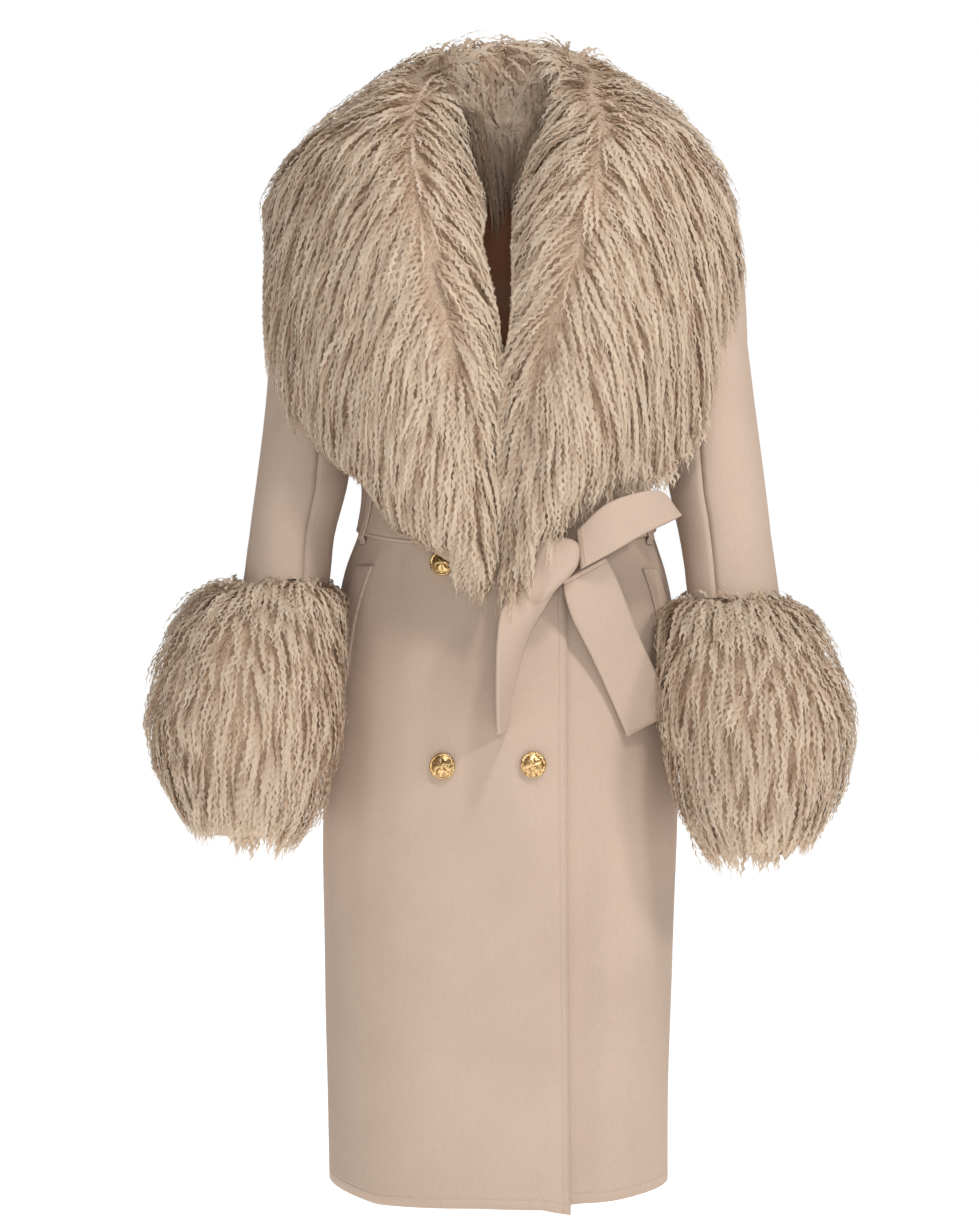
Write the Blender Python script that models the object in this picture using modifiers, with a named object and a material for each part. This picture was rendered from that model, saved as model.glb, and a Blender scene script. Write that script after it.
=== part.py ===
"""A belted wool coat with a fur shawl collar and fur cuffs, hollow, as it is worn.

The origin lies between the wearer's shoulders at the height of the neck seam. +Z is up, the front
faces -Y, and +X is the wearer's left. The tables and functions work in millimetres.
"""

import math

import bmesh
import bpy
import numpy as np
from mathutils import Matrix, Vector

MM = 0.001
WALL = 2.5            # felted double-faced wool
SEAM = 0.4            # half of the gap between two sewn panels
LAP = 4.0             # how far the under front lies behind the top front
LAP_START = 6.0       # past the top front's edge the under front comes forward, from here
LAP_END = 50.0        # to here
SECTION_POWER = 2.2   # the body's cross sections are superellipses
HEM = -1050.0
HEM_FADE = -900.0     # above this the hem's unevenness is gone
# How much higher the hem hangs. x, change of height
HEM_TOP_FRONT = np.array([(-175, 7), (-120, -3), (-25, -1), (45, -3), (69, -7)], float)
HEM_UNDER_FRONT = np.array([(-70, 3), (90, 4), (170, 5)], float)
HEM_BACK = 5.0

# Body sections. height, centre x, half width, depth in front, depth behind
BODY = np.array([
    (0, 6, 74, 50, 58),
    (-12, 6, 105, 56, 63),
    (-25, 6, 140, 61, 68),
    (-38, 6, 172, 66, 72),
    (-50, 6, 195, 70, 75),
    (-75, 6, 188, 84, 85),
    (-110, 6, 176, 98, 97),
    (-150, 6, 163, 112, 108),
    (-200, 6, 154, 122, 106),
    (-260, 6, 150, 116, 98),
    (-320, 6, 145, 106, 92),
    (-374, 6, 141, 101, 90),
    (-396, 6, 145, 104, 96),
    (-442, 5, 160, 109, 106),
    (-470, 5, 166, 113, 110),
    (-540, 4, 172, 120, 122),
    (-620, 2, 176, 125, 126),
    (-700, 0, 176.5, 127, 127),
    (-826, -1.5, 173.5, 127, 126),
    (-996, -2, 169.5, 126, 126),
    (-1070, -1, 168.5, 127, 127),
], float)

# Soft folds of the skirt. angle in degrees (-90 is the front), half width in degrees, depth, top, bottom
FOLDS = np.array([
    (-64, 6, -6.5, -560, -1060),
    (-118, 9, 2.5, -430, -640),
    (-146, 9, -3.0, -470, -760),
    (-30, 8, -2.5, -460, -720),
    (58, 9, -5.0, -440, -1060),
    (90, 8, 4.0, -420, -1060),
    (124, 9, -5.0, -430, -1060),
    (14, 7, 2.5, -600, -1060),
], float)

# Armhole, an ellipse in side view
ARMHOLE_HEIGHT = -122.0
ARMHOLE_TALL = 74.0
ARMHOLE_DEEP = 58.0
NECK_TOP = -4.0

# Front edges
TOP_EDGE_X = 64.0
UNDER_EDGE_X = -66.0
BREAK_HEIGHT = -400.0
EDGE_DRIFT = 5.0      # the top front's edge wanders outward towards the hem, from this height down
EDGE_DRIFT_TOP = -600.0
NECK_HALF = 68.0      # half of the neck's width at the front edges

# Sleeve rings. height, centre x, centre y, half width, half depth
SLEEVE_LEFT = np.array([
    (-215, 205, 0, 42, 58),
    (-281, 208, -2, 47, 57),
    (-350, 215, -12, 48, 54),
    (-421, 225, -28, 45, 50),
    (-460, 229, -42, 45, 48),
    (-520, 236, -65, 42, 45),
    (-616, 248, -95, 36, 40),
], float)
SLEEVE_RIGHT = np.array([
    (-215, -190.5, 0, 38.5, 58),
    (-281, -191, -2, 43.5, 57),
    (-350, -196.5, -12, 45.5, 54),
    (-412, -207, -28, 42, 50),
    (-450, -210, -42, 42.5, 48),
    (-510, -222, -65, 40, 45),
    (-600, -240, -95, 36, 40),
], float)
FRONT_SEAM_TOP = -105.0     # the sleeve's front seam, in degrees round from its outer side
FRONT_SEAM_WRIST = -122.0
BACK_SEAM = 130.0
SLEEVE_EASE = 1.8            # the sleeve head starts this far outside the armhole

# Fur cuffs, outer rings. height, centre x, centre y, half width, half depth
CUFF_RIGHT = np.array([
    (-450, -211, -43, 47, 52),
    (-456, -219, -50, 62, 66),
    (-470, -226, -58, 74, 76),
    (-500, -236, -76, 84, 84),
    (-540, -242, -90, 90, 88),
    (-590, -246, -97, 93.5, 90),
    (-630, -246, -98, 93, 90),
    (-665, -240, -98, 80, 84),
    (-688, -238, -98, 68, 72),
    (-704, -231, -98, 48, 52),
], float)
CUFF_LEFT = np.array([
    (-465.4, 230, -43, 48.5, 52),
    (-471.4, 229, -50, 62, 66),
    (-485.4, 231, -58, 74, 76),
    (-515.4, 238, -76, 84, 84),
    (-555.4, 244, -90, 90, 88),
    (-605.4, 248, -97, 93.5, 90),
    (-645.4, 248, -98, 93, 90),
    (-680.4, 242, -98, 80, 84),
    (-703.4, 240, -98, 68, 72),
    (-719.4, 233, -98, 48, 52),
], float)
CUFF_INSIDE = np.array([3, 28, 58, 88, 116])   # rows of its inside, below its top edge
# The hollow that the long tail presses into the left cuff: a little wider than the tail, and thicker
TAIL_ROOM = np.array([1, 1, 1, 1.08, 1.08, 1.08])
TAIL_ROOM_THICK = 6.0
HAND_HALF_WIDTH = 33.0
HAND_HALF_DEPTH = 37.0
CUFF_CLEAR = 5.5             # from the skirt, past the pocket welts
CUFF_FIT = 1.6               # round the sleeve

# Fur collar, stations from the bottom tip over the shoulder to the centre back, for the wearer's
# right half. The inner edge, the swell and the seam line on the coat, each x, y, z, and the x of the
# plane that mirrors them to the left half
COLLAR = np.array([
    (-0.6, -140, -424, -10, -153, -446, -4, -120, -420, 0),
    (-0.6, -146, -385, -34, -168, -402, -10, -112, -385, 0),
    (-0.6, -150, -335, -66, -174, -338, -22, -112, -335, 0),
    (-0.6, -152, -280, -86, -176, -272, -30, -118, -280, 0),
    (-1.5, -150, -228, -98, -174, -208, -34, -122, -225, 1),
    (-6, -142, -170, -106, -166, -140, -42, -118, -165, 1.5),
    (-15, -122, -105, -112, -146, -76, -52, -104, -100, 0),
    (-30, -90, -35, -126, -108, -22, -62, -76, -30, 1),
    (-48, -46, 40, -140, -44, 16, -72, -28, 4, 6),
    (-52, 20, 74, -150, 46, 36, -66, 22, 4, 6),
    (-34, 66, 84, -86, 114, 62, -44, 50, 4, 6),
    (5.6, 82, 84, 5.6, 138, 74, 5.6, 62, 4, 6),
], float)
# Where each half falls over the chest, shoulder and back, and its outer edge, at the same stations
COLLAR_RIGHT = np.array([
    (-12, -156, -455, -17, -148, -461),
    (-56, -162, -416, -80, -140, -421),
    (-108, -158, -362, -146, -110, -353),
    (-144, -146, -300, -188, -82, -309),
    (-174, -126, -236, -215, -56, -266),
    (-196, -98, -160, -232, -30, -214),
    (-207, -70, -98, -238, -10, -202),
    (-217, -36, -60, -239, 14, -196),
    (-223, 12, -50, -236, 44, -198),
    (-198, 84, -60, -200, 98, -216),
    (-104, 142, -100, -110, 132, -242),
    (5.6, 158, -105, 5.6, 136, -252),
], float)
COLLAR_LEFT = np.array([
    (10, -156, -446, 12, -150, -452),
    (42, -162, -404, 52, -148, -404),
    (86, -160, -352, 100, -134, -366),
    (130, -148, -298, 154, -106, -346),
    (166, -128, -238, 192, -78, -302),
    (194, -102, -168, 214, -50, -244),
    (210, -78, -112, 230, -28, -208),
    (216, -40, -54, 232, -4, -192),
    (218, 8, -42, 233, 50, -192),
    (202, 84, -56, 206, 98, -216),
    (116, 142, -98, 122, 132, -242),
    (5.6, 158, -105, 5.6, 136, -252),
], float)
COLLAR_GAP = 0.4
COLLAR_RIM = 7.0        # thickness of the fur at the outer edge
# How far its underside reaches inward, before the coat is cut out of it. station, depth
COLLAR_DEEP = np.array([(0, 16), (1, 38), (2, 60), (3, 72), (6, 82), (11, 70)], float)
OVER_SHARE = 0.6        # share of the section's points that lie on the outside
FRONT_MEET = -0.4       # where the halves meet below the V
BACK_MEET = 6.0         # and at the centre of the back

# Belt
BELT_HEIGHT = -374.0
BELT_TILT = 0.2        # lower in front: millimetres of height for each millimetre of depth
BELT_HALF = 25.0
BELT_CLEAR = 1.0
BELT_THICK = 3.0

# Tied ends, as bands. centre x, y, z, then half of the width as a vector x, y, z
TAIL_LONG = np.array([
    (87.6, -133, -453, 14, 3, 11),
    (94, -124, -478, 22, 4, 11),
    (111, -109, -516, 23, 6, 10),
    (128, -101, -553, 23, 7, 10),
    (144, -95, -591, 22, 8, 11),
], float)
TAIL_SHORT = np.array([
    (39, -139, -477.4, 19, 4, 1),
    (21, -146, -494, 14, 16, -4),
    (12, -149, -514, 8, 23, -2),
    (7, -150, -556, 5, 24, 0),
    (3.5, -152, -596, 4, 24.5, 0),
], float)
BOW = np.array([
    (78.3, -140, -421, -2, 0, 19),
    (104, -146, -402, -4, 0, 22),
    (134, -138, -388, 2, 0, 20),
    (158, -122, -379, 7, 0, 15),
    (167, -112, -378, 8, 0, 14),
    (158, -106, -379, 7, 0, 15),
    (134, -112, -388, 2, 0, 20),
    (104, -122, -402, -4, 0, 22),
    (78.3, -126, -421, -2, 0, 19),
], float)
KNOT_CENTRE = (50.0, -134.5, -442.0)
KNOT_HALF = (25.0, 18.0, 32.0)
KNOT_LEAN = 8.0

# Buttons. x, height
BUTTONS = {
    "button_upper_right": (-55, -435.0),
    "button_lower_right": (-55, -629.6),
    "button_upper_left": (31, -436.0),
    "button_lower_left": (31, -628),
}
# Turned profile of a button from its outer side to its top. radius, height
BUTTON_PROFILE = [(0, 7.6), (5.4, 6.8), (9.0, 5.0), (10.3, 3.4), (11.6, 3.8), (12.5, 2.8), (12.1, 0.6),
                  (10.5, 0), (0, 0)]
BUTTON_SEAT = 0.6      # clear of the cloth

# Pocket welts, read at their upper and lower ends. height, y of the inner line, y of the outer line
WELT = {"pocket_welt_right": (-1, (-437, -70, -49), (-552, -60, -37)),
        "pocket_welt_left": (1, (-440, -66, -46), (-555, -54, -31))}
WELT_THICK = 2.0
CARRIER_WIDTH = 9.0
CARRIER_THICK = 1.4
CARRIER_PAST = 8.0     # how far it reaches above and below the belt
CARRIER_CLEAR = 0.7
CARRIER_Y = -44.0

WOOL = ((0.66, 0.48, 0.37, 1.0), 0.9, 0.0)
FUR = ((0.52, 0.38, 0.27, 1.0), 1.0, 0.0)
METAL = ((0.80, 0.62, 0.36, 1.0), 0.3, 1.0)


def clear_scene():
    for old in list(bpy.data.objects):
        bpy.data.objects.remove(old, do_unlink=True)


def new_collection(name):
    made = bpy.data.collections.new(name)
    bpy.context.scene.collection.children.link(made)
    return made


def new_material(name, look):
    colour, roughness, metallic = look
    made = bpy.data.materials.new(name)
    made.use_nodes = True
    shader = made.node_tree.nodes["Principled BSDF"]
    shader.inputs["Base Color"].default_value = colour
    shader.inputs["Roughness"].default_value = roughness
    shader.inputs["Metallic"].default_value = metallic
    return made


def read_table(table, at):
    """The table's other columns at the heights or stations in at, on a smooth curve through its rows."""
    order = np.argsort(table[:, 0])
    key, rows = table[order, 0], table[order, 1:]
    slope = np.gradient(rows, key, axis=0)
    at = np.clip(np.asarray(at, float), key[0], key[-1])
    i = np.clip(np.searchsorted(key, at) - 1, 0, len(key) - 2)
    step = key[i + 1] - key[i]
    t = ((at - key[i]) / step)[..., None]
    step = step[..., None]
    return (rows[i] * (1 + 2 * t) * (1 - t) ** 2 + slope[i] * step * t * (1 - t) ** 2
            + rows[i + 1] * t**2 * (3 - 2 * t) + slope[i + 1] * step * t**2 * (t - 1))


def smooth_step(x, low, high):
    t = np.clip((x - low) / (high - low), 0, 1)
    return t * t * (3 - 2 * t)


def superellipse(angle, power):
    c, s = np.cos(angle), np.sin(angle)
    return np.sign(c) * np.abs(c) ** (2 / power), np.sign(s) * np.abs(s) ** (2 / power)


def folds_at(angle, z):
    """How far the skirt's folds stand out at an angle and height."""
    total = 0.0
    for middle, half, depth, top, bottom in FOLDS:
        off = (np.degrees(angle) - middle + 180) % 360 - 180
        grow = smooth_step(-z, -top, -(top + bottom) / 2)
        fade = 1 - smooth_step(-z, -bottom, -bottom + 60)
        total = total + depth * np.exp(-((off / half) ** 2)) * grow * fade
    return total


def body_surface(angle, z):
    row = read_table(BODY, z)
    c, s = superellipse(angle, SECTION_POWER)
    grow = folds_at(angle, z)
    x = row[..., 0] + (row[..., 1] + grow) * c
    y = np.where(s < 0, row[..., 2] + grow, row[..., 3] + grow) * s
    return np.stack([x, y, np.broadcast_to(z, x.shape)], -1)


def body_point(angle, z, out=0.0):
    """A point of the coat's outer face, moved out along its normal."""
    angle, z = np.broadcast_arrays(np.asarray(angle, float), np.asarray(z, float))
    here = body_surface(angle, z)
    across = body_surface(angle + 0.01, z) - body_surface(angle - 0.01, z)
    down = body_surface(angle, z - 1.0) - body_surface(angle, z + 1.0)
    normal = np.cross(down, across)
    normal /= np.linalg.norm(normal, axis=-1, keepdims=True)
    return here + normal * np.asarray(out)[..., None]


def angle_at_x(x, z, front=True):
    row = read_table(BODY, z)
    share = np.clip((x - row[..., 0]) / row[..., 1], -1, 1)
    angle = np.arccos(np.sign(share) * np.abs(share) ** (SECTION_POWER / 2))
    return -angle if front else angle


def angle_at_y(y, z, side):
    """The angle on one side (1 is +X, -1 is -X) where the body's outline reaches y."""
    row = read_table(BODY, z)
    depth = np.where(np.asarray(y) < 0, row[..., 2], row[..., 3])
    share = np.clip(np.asarray(y) / depth, -1, 1)
    angle = np.arcsin(np.sign(share) * np.abs(share) ** (SECTION_POWER / 2))
    return angle if side > 0 else math.pi * np.where(share < 0, -1, 1) - angle


def armhole_half_depth(z):
    share = np.clip((z - ARMHOLE_HEIGHT) / ARMHOLE_TALL, -1, 1)
    return ARMHOLE_DEEP * np.sqrt(1 - share**2)


def panel_heights():
    """Row heights from hem to neck, closer together round the armhole."""
    turns = np.linspace(0, math.pi, 8)
    armhole = ARMHOLE_HEIGHT - ARMHOLE_TALL * np.cos(turns)
    skirt = np.linspace(HEM, -480, 8)
    waist = [-445, -422, -404, -388, -372, -352, -325, -285, -240]
    return np.concatenate([skirt, waist, armhole, [-34, -18, NECK_TOP]])


def new_object(name, mesh, collection, material):
    made = bpy.data.objects.new(name, mesh)
    mesh.materials.append(material)
    collection.objects.link(made)
    return made


def hide(cutter):
    cutter.hide_render = True
    cutter.display_type = "WIRE"


def new_cutter(name, mesh, collection):
    cutter = bpy.data.objects.new(name, mesh)
    collection.objects.link(cutter)
    hide(cutter)
    return cutter


def cut_away(piece, cutter):
    cut = piece.modifiers.new(cutter.name, "BOOLEAN")
    cut.operation = "DIFFERENCE"
    cut.solver = "EXACT"
    cut.object = cutter


def grid_mesh(name, columns, rows, place, wrap_columns=False, wrap_rows=False):
    """A mesh from a grid, each point placed by place(u, v) in millimetres, with its wrapped edges joined."""
    shape = bmesh.new()
    bmesh.ops.create_grid(shape, x_segments=columns, y_segments=rows, size=0.5)
    at = np.array([v.co[:2] for v in shape.verts]) + 0.5
    points = place(at[:, 0], at[:, 1]) * MM
    for vert, point in zip(shape.verts, points):
        vert.co = point
    if wrap_columns or wrap_rows:
        bmesh.ops.remove_doubles(shape, verts=shape.verts, dist=0.00002)
    mesh = bpy.data.meshes.new(name)
    shape.to_mesh(mesh)
    shape.free()
    mesh.shade_smooth()
    return mesh


def add_wall(piece, thickness, offset=-1.0):
    wall = piece.modifiers.new("wall", "SOLIDIFY")
    wall.thickness = thickness * MM
    wall.offset = offset
    wall.use_even_offset = True


def face_out(mesh, outward):
    """Turns an open mesh so that its faces point the way that outward gives at each face's middle."""
    shape = bmesh.new()
    shape.from_mesh(mesh)
    votes = 0.0
    for face in shape.faces:
        way = Vector(outward(face.calc_center_median() / MM))
        votes += face.normal.dot(way) * face.calc_area()
    if votes < 0:
        bmesh.ops.reverse_faces(shape, faces=shape.faces)
    shape.to_mesh(mesh)
    shape.free()


def close_solid(mesh):
    """Caps the open ends of a lofted mesh and points its faces out."""
    shape = bmesh.new()
    shape.from_mesh(mesh)
    bmesh.ops.remove_doubles(shape, verts=shape.verts, dist=0.00002)
    bmesh.ops.holes_fill(shape, edges=shape.edges, sides=0)
    bmesh.ops.triangulate(shape, faces=[f for f in shape.faces if len(f.verts) > 4])
    bmesh.ops.recalc_face_normals(shape, faces=shape.faces)
    shape.to_mesh(mesh)
    shape.free()
    mesh.shade_smooth()


def from_body_axis(middle):
    return (middle.x - BODY[0, 1], middle.y, 0.0)


def top_edge_x(z):
    """x of the top front's free edge: straight below the break, then along the V to the neck."""
    straight = TOP_EDGE_X + EDGE_DRIFT * smooth_step(-z, -EDGE_DRIFT_TOP, -HEM)
    share = np.clip((z - BREAK_HEIGHT) / (NECK_TOP - BREAK_HEIGHT), 0, 1)
    return straight * (1 - share) + (BODY[0, 1] - NECK_HALF) * share


def under_edge_x(z):
    share = np.clip((z - BREAK_HEIGHT) / (NECK_TOP - BREAK_HEIGHT), 0, 1)
    return UNDER_EDGE_X * (1 - share) + (BODY[0, 1] + NECK_HALF) * share


def row_height(v, heights):
    return np.interp(v, np.linspace(0, 1, len(heights)), heights)


def hem_shift(x, z, rows):
    """Lowers or lifts the hem: rows give x and the change of height there, fading out above."""
    return np.interp(x, rows[:, 0], rows[:, 1]) * smooth_step(-z, -HEM_FADE, -HEM)


def front_panel(side, heights):
    """side -1 is the top front (wearer's right), 1 the under front."""
    def place(u, v):
        z = row_height(v, heights)
        seam = angle_at_y(-(armhole_half_depth(z) + SEAM), z, side)
        edge_x = top_edge_x(z) if side < 0 else under_edge_x(z)
        angle = seam + (angle_at_x(edge_x, z) - seam) * u
        x = body_surface(angle, z)[..., 0]
        if side < 0:
            sink = np.zeros_like(x)
            z = z + hem_shift(x, z, HEM_TOP_FRONT)
        else:
            sink = LAP * (1 - smooth_step(x, TOP_EDGE_X + LAP_START, TOP_EDGE_X + LAP_END))
            z = z + hem_shift(x, z, HEM_UNDER_FRONT)
        return body_point(angle, z, -sink)
    return place


def back_panel(heights):
    def place(u, v):
        z = row_height(v, heights)
        deep = armhole_half_depth(z) + SEAM
        left, right = angle_at_y(deep, z, 1), angle_at_y(deep, z, -1)
        return body_point(left + (right - left) * u, z + HEM_BACK * smooth_step(-z, -HEM_FADE, -HEM))
    return place


def build_body(collection, wool):
    heights = panel_heights()
    rows = len(heights) - 1
    for name, place, columns in (
        ("front_right", front_panel(-1, heights), 13),
        ("front_left", front_panel(1, heights), 13),
        ("back", back_panel(heights), 18),
    ):
        mesh = grid_mesh(name, columns, rows, place)
        face_out(mesh, from_body_axis)
        add_wall(new_object(name, mesh, collection, wool), WALL)


def sleeve_ring(rings, side, turn, z):
    row = read_table(rings, z)
    c, s = superellipse(turn, 2.1)
    return np.stack([row[..., 0] + side * row[..., 2] * c, row[..., 1] + row[..., 3] * s,
                     np.broadcast_to(z, c.shape)], -1)


def sleeve_surface(rings, side, turn, along):
    """turn goes round from the sleeve's outer side, -90 degrees in front. along is 0 at the armhole,
    1 at the first ring and 2 at the wrist."""
    first, wrist = rings[0, 0], rings[-1, 0]
    y, z = ARMHOLE_DEEP * np.sin(turn), ARMHOLE_HEIGHT + ARMHOLE_TALL * np.cos(turn)
    root = body_surface(angle_at_y(y, z, side), z) + np.array([side * SLEEVE_EASE, 0, 0])
    end = sleeve_ring(rings, side, turn, np.full(turn.shape, first))
    lean = (0.5 + 0.45 * np.cos(turn))[..., None]
    bend = np.concatenate([root[..., :1] + (end - root)[..., :1] * lean, (root + end)[..., 1:2] / 2,
                           root[..., 2:] + (end - root)[..., 2:] * (1 - lean)], -1)
    t = np.clip(along, 0, 1)[..., None]
    head = root * (1 - t) ** 2 + bend * 2 * t * (1 - t) + end * t**2
    tube = sleeve_ring(rings, side, turn, first + (wrist - first) * np.clip(along - 1, 0, 1))
    return np.where((along > 1)[..., None], tube, head)


def sleeve_panel(rings, side, under):
    def place(u, v):
        along = 2 * (1 - v)
        gap = np.radians(1.0 + 1.5 * (1 - smooth_step(along, 0.6, 1.2)))
        front = np.radians(FRONT_SEAM_TOP + (FRONT_SEAM_WRIST - FRONT_SEAM_TOP) * np.clip(along - 1, 0, 1))
        back = np.full(u.shape, np.radians(BACK_SEAM))
        start, stop = (back + gap, front + 2 * math.pi - gap) if under else (front + gap, back - gap)
        return sleeve_surface(rings, side, start + (stop - start) * u, along)
    return place


def build_sleeves(collection, wool):
    for word, side, rings in (("right", -1, SLEEVE_RIGHT), ("left", 1, SLEEVE_LEFT)):
        for part, under, columns in (("top", False, 15), ("under", True, 7)):
            name = f"sleeve_{word}_{part}"
            mesh = grid_mesh(name, columns, 14, sleeve_panel(rings, side, under))

            def outward(middle, rings=rings):
                row = read_table(rings, middle.z)
                return (middle.x - row[0], middle.y - row[1], 0.0)

            face_out(mesh, outward)
            add_wall(new_object(name, mesh, collection, wool), WALL)


def clear_of_skirt(points, gap):
    """Moves points that lie inside the skirt's outline, widened by gap, straight out to it."""
    row = read_table(BODY, points[..., 2])
    off = points[..., :2] - np.stack([row[..., 0], np.zeros_like(row[..., 0])], -1)
    depth = np.where(off[..., 1] < 0, row[..., 2], row[..., 3]) + gap
    reach = (np.abs(off[..., 0] / (row[..., 1] + gap)) ** SECTION_POWER
             + np.abs(off[..., 1] / depth) ** SECTION_POWER) ** (1 / SECTION_POWER)
    scale = np.where(reach < 1, 1 / np.maximum(reach, 0.01), 1.0)[..., None]
    moved = points.copy()
    moved[..., :2] = points[..., :2] + off * (scale - 1)
    return moved


def cuff_rows(side, rings):
    """Heights of the cuff's section: up its outside, then down its inside past the sleeve's end."""
    wrist = rings[-1, 0]
    outside = (CUFF_LEFT if side > 0 else CUFF_RIGHT)[::-1, 0]
    inside = np.concatenate([outside[-1] - CUFF_INSIDE, [wrist - 1, wrist - 12, wrist - 40, outside[0] + 3]])
    return outside, inside


def cuff_outside(side, turn, z):
    c, s = superellipse(turn, 2.05)
    row = read_table(CUFF_LEFT if side > 0 else CUFF_RIGHT, z)
    ring = np.stack([row[..., 0] + side * row[..., 2] * c, row[..., 1] + row[..., 3] * s, z], -1)
    return clear_of_skirt(ring, CUFF_CLEAR)


def cuff_inside(side, rings, turn, z):
    c, s = superellipse(turn, 2.05)
    wrist = rings[-1]
    ease = CUFF_FIT * np.stack([side * c, s, 0 * c], -1)
    ring = sleeve_ring(rings, side, turn, np.maximum(z, wrist[0])) + ease
    hand = np.stack([wrist[1] + side * HAND_HALF_WIDTH * c, wrist[2] + HAND_HALF_DEPTH * s, z], -1)
    narrow = smooth_step(-z, -wrist[0] + 12, -wrist[0] + 40)[..., None]
    inner = ring * (1 - narrow) + hand * narrow
    inner[..., 2] = z
    return inner


def build_cuffs(collection, cutters, fur):
    room = TAIL_LONG * TAIL_ROOM
    room[-1, :3] += (room[-1, :3] - room[-2, :3]) * 0.15
    tail = new_cutter("tail_room", band_mesh("tail_room", room, 4, 10), cutters)
    add_wall(tail, TAIL_ROOM_THICK, 0.0)
    for word, side, rings in (("right", -1, SLEEVE_RIGHT), ("left", 1, SLEEVE_LEFT)):
        name = f"cuff_{word}"
        outside, inside = cuff_rows(side, rings)
        heights = np.concatenate([outside, inside])

        def place(u, v, side=side, rings=rings, heights=heights, steps=len(outside)):
            turn = 2 * math.pi * np.where(u > 0.999, 0.0, u)
            row = np.round(v * len(heights)).astype(int) % len(heights)
            z = heights[row]
            outer = cuff_outside(side, turn, z)
            return np.where((row < steps)[:, None], outer, cuff_inside(side, rings, turn, z))

        mesh = grid_mesh(name, 26, len(heights), place, True, True)
        close_solid(mesh)
        piece = new_object(name, mesh, collection, fur)
        if side > 0:
            cut_away(piece, tail)


def collar_stations():
    return np.linspace(0, 1, len(COLLAR))[:, None]


def collar_section(side, station):
    """Inner edge, swell, fall, outer edge and seam line of one half at a station from 0, the tip, to 1."""
    rows = read_table(np.hstack([collar_stations(), COLLAR]), station)
    falls = COLLAR_RIGHT if side < 0 else COLLAR_LEFT
    fall = read_table(np.hstack([collar_stations(), falls]), station)
    inner, swell, seam = rows[..., :3], rows[..., 3:6], rows[..., 6:9]
    if side > 0:
        flip = np.array([-1, 1, 1])
        shift = 2 * rows[..., 9:] * np.array([1, 0, 0])
        inner, swell, seam = inner * flip + shift, swell * flip + shift, seam * flip + shift
    return inner, swell, fall[..., :3], fall[..., 3:], seam


def collar_shape(side):
    """Round the section: over the fur from its inner to its outer edge, then back beneath it."""
    def place(u, v):
        inner, swell, fall, outer, seam = collar_section(side, v)
        t = np.clip(u / OVER_SHARE, 0, 1)[..., None]
        top = (-4.5 * inner * (t - 1 / 3) * (t - 2 / 3) * (t - 1) + 13.5 * swell * t * (t - 2 / 3) * (t - 1)
               - 13.5 * fall * t * (t - 1 / 3) * (t - 1) + 4.5 * outer * t * (t - 1 / 3) * (t - 2 / 3))
        inward = (inner + outer) / 2 - swell
        inward /= np.linalg.norm(inward, axis=-1, keepdims=True)
        rim = outer + inward * COLLAR_RIM
        deep = np.interp(v * (len(COLLAR) - 1), COLLAR_DEEP[:, 0], COLLAR_DEEP[:, 1])[..., None]
        belly = (swell + fall) / 2 + inward * deep
        t = np.clip((u - OVER_SHARE - 0.05) / (0.95 - OVER_SHARE), 0, 1)[..., None]
        back = rim * (1 - t) ** 2 + belly * 2 * t * (1 - t) + seam * t**2
        points = np.where((u <= OVER_SHARE + 0.001)[..., None], top, back)
        centre = np.where(points[..., 1] < 0, FRONT_MEET, BACK_MEET)
        if side < 0:
            points[..., 0] = np.minimum(points[..., 0], centre - COLLAR_GAP / 2)
        else:
            points[..., 0] = np.maximum(points[..., 0], centre + COLLAR_GAP / 2)
        return points
    return place


def envelope_cutter(name, collection, place, columns, rows):
    mesh = grid_mesh(name, columns, rows, place, True)
    close_solid(mesh)
    return new_cutter(name, mesh, collection)


def build_collar(collection, cutters, fur):
    heights = panel_heights()[8:]

    def body(u, v):
        z = row_height(v, heights)
        out = 1.6 + 4.6 * smooth_step(-z, 325, 350)
        return body_point(2 * math.pi * np.where(u > 0.999, 0.0, u), z, out)

    tools = [envelope_cutter("body_room", cutters, body, 52, len(heights) - 1)]
    for word, side, rings in (("right", -1, SLEEVE_RIGHT), ("left", 1, SLEEVE_LEFT)):
        def sleeve(u, v, side=side, rings=rings):
            turn = 2 * math.pi * np.where(u > 0.999, 0.0, u)
            point = sleeve_surface(rings, side, turn, 1.6 * np.clip(v * 24 - 1, 0, 23) / 23)
            c, s = superellipse(turn, 2.1)
            point = point + 2.2 * np.stack([side * c, s, 0.7 * np.cos(turn)], -1)
            return point - (v < 0.02)[:, None] * np.array([side * 30.0, 0, 0])

        tools.append(envelope_cutter(f"sleeve_room_{word}", cutters, sleeve, 32, 24))
    knot = new_knot("knot_room", cutters, 0.5)
    hide(knot)
    tools.append(knot)
    for word, side in (("right", -1), ("left", 1)):
        name = f"collar_{word}"
        around, stations = 20, 24
        place = collar_shape(side)

        def closed(u, v, place=place):
            return place(np.where(u > 0.999, 0.0, u), v)

        mesh = grid_mesh(name, around, stations, closed, True)
        close_solid(mesh)
        piece = new_object(name, mesh, collection, fur)
        for tool in tools:
            cut_away(piece, tool)


def belt_height(angle):
    y = body_surface(angle, np.full(angle.shape, BELT_HEIGHT))[..., 1]
    return BELT_HEIGHT + BELT_TILT * y


def belt_place(u, v):
    angle = 2 * math.pi * np.where(u > 0.999, 0.0, u)
    return body_point(angle, belt_height(angle) + BELT_HALF * (2 * v - 1), BELT_CLEAR)


def build_belt(collection, wool):
    mesh = grid_mesh("belt", 52, 3, belt_place, True)
    face_out(mesh, from_body_axis)
    add_wall(new_object("belt", mesh, collection, wool), BELT_THICK, 1.0)


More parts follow.
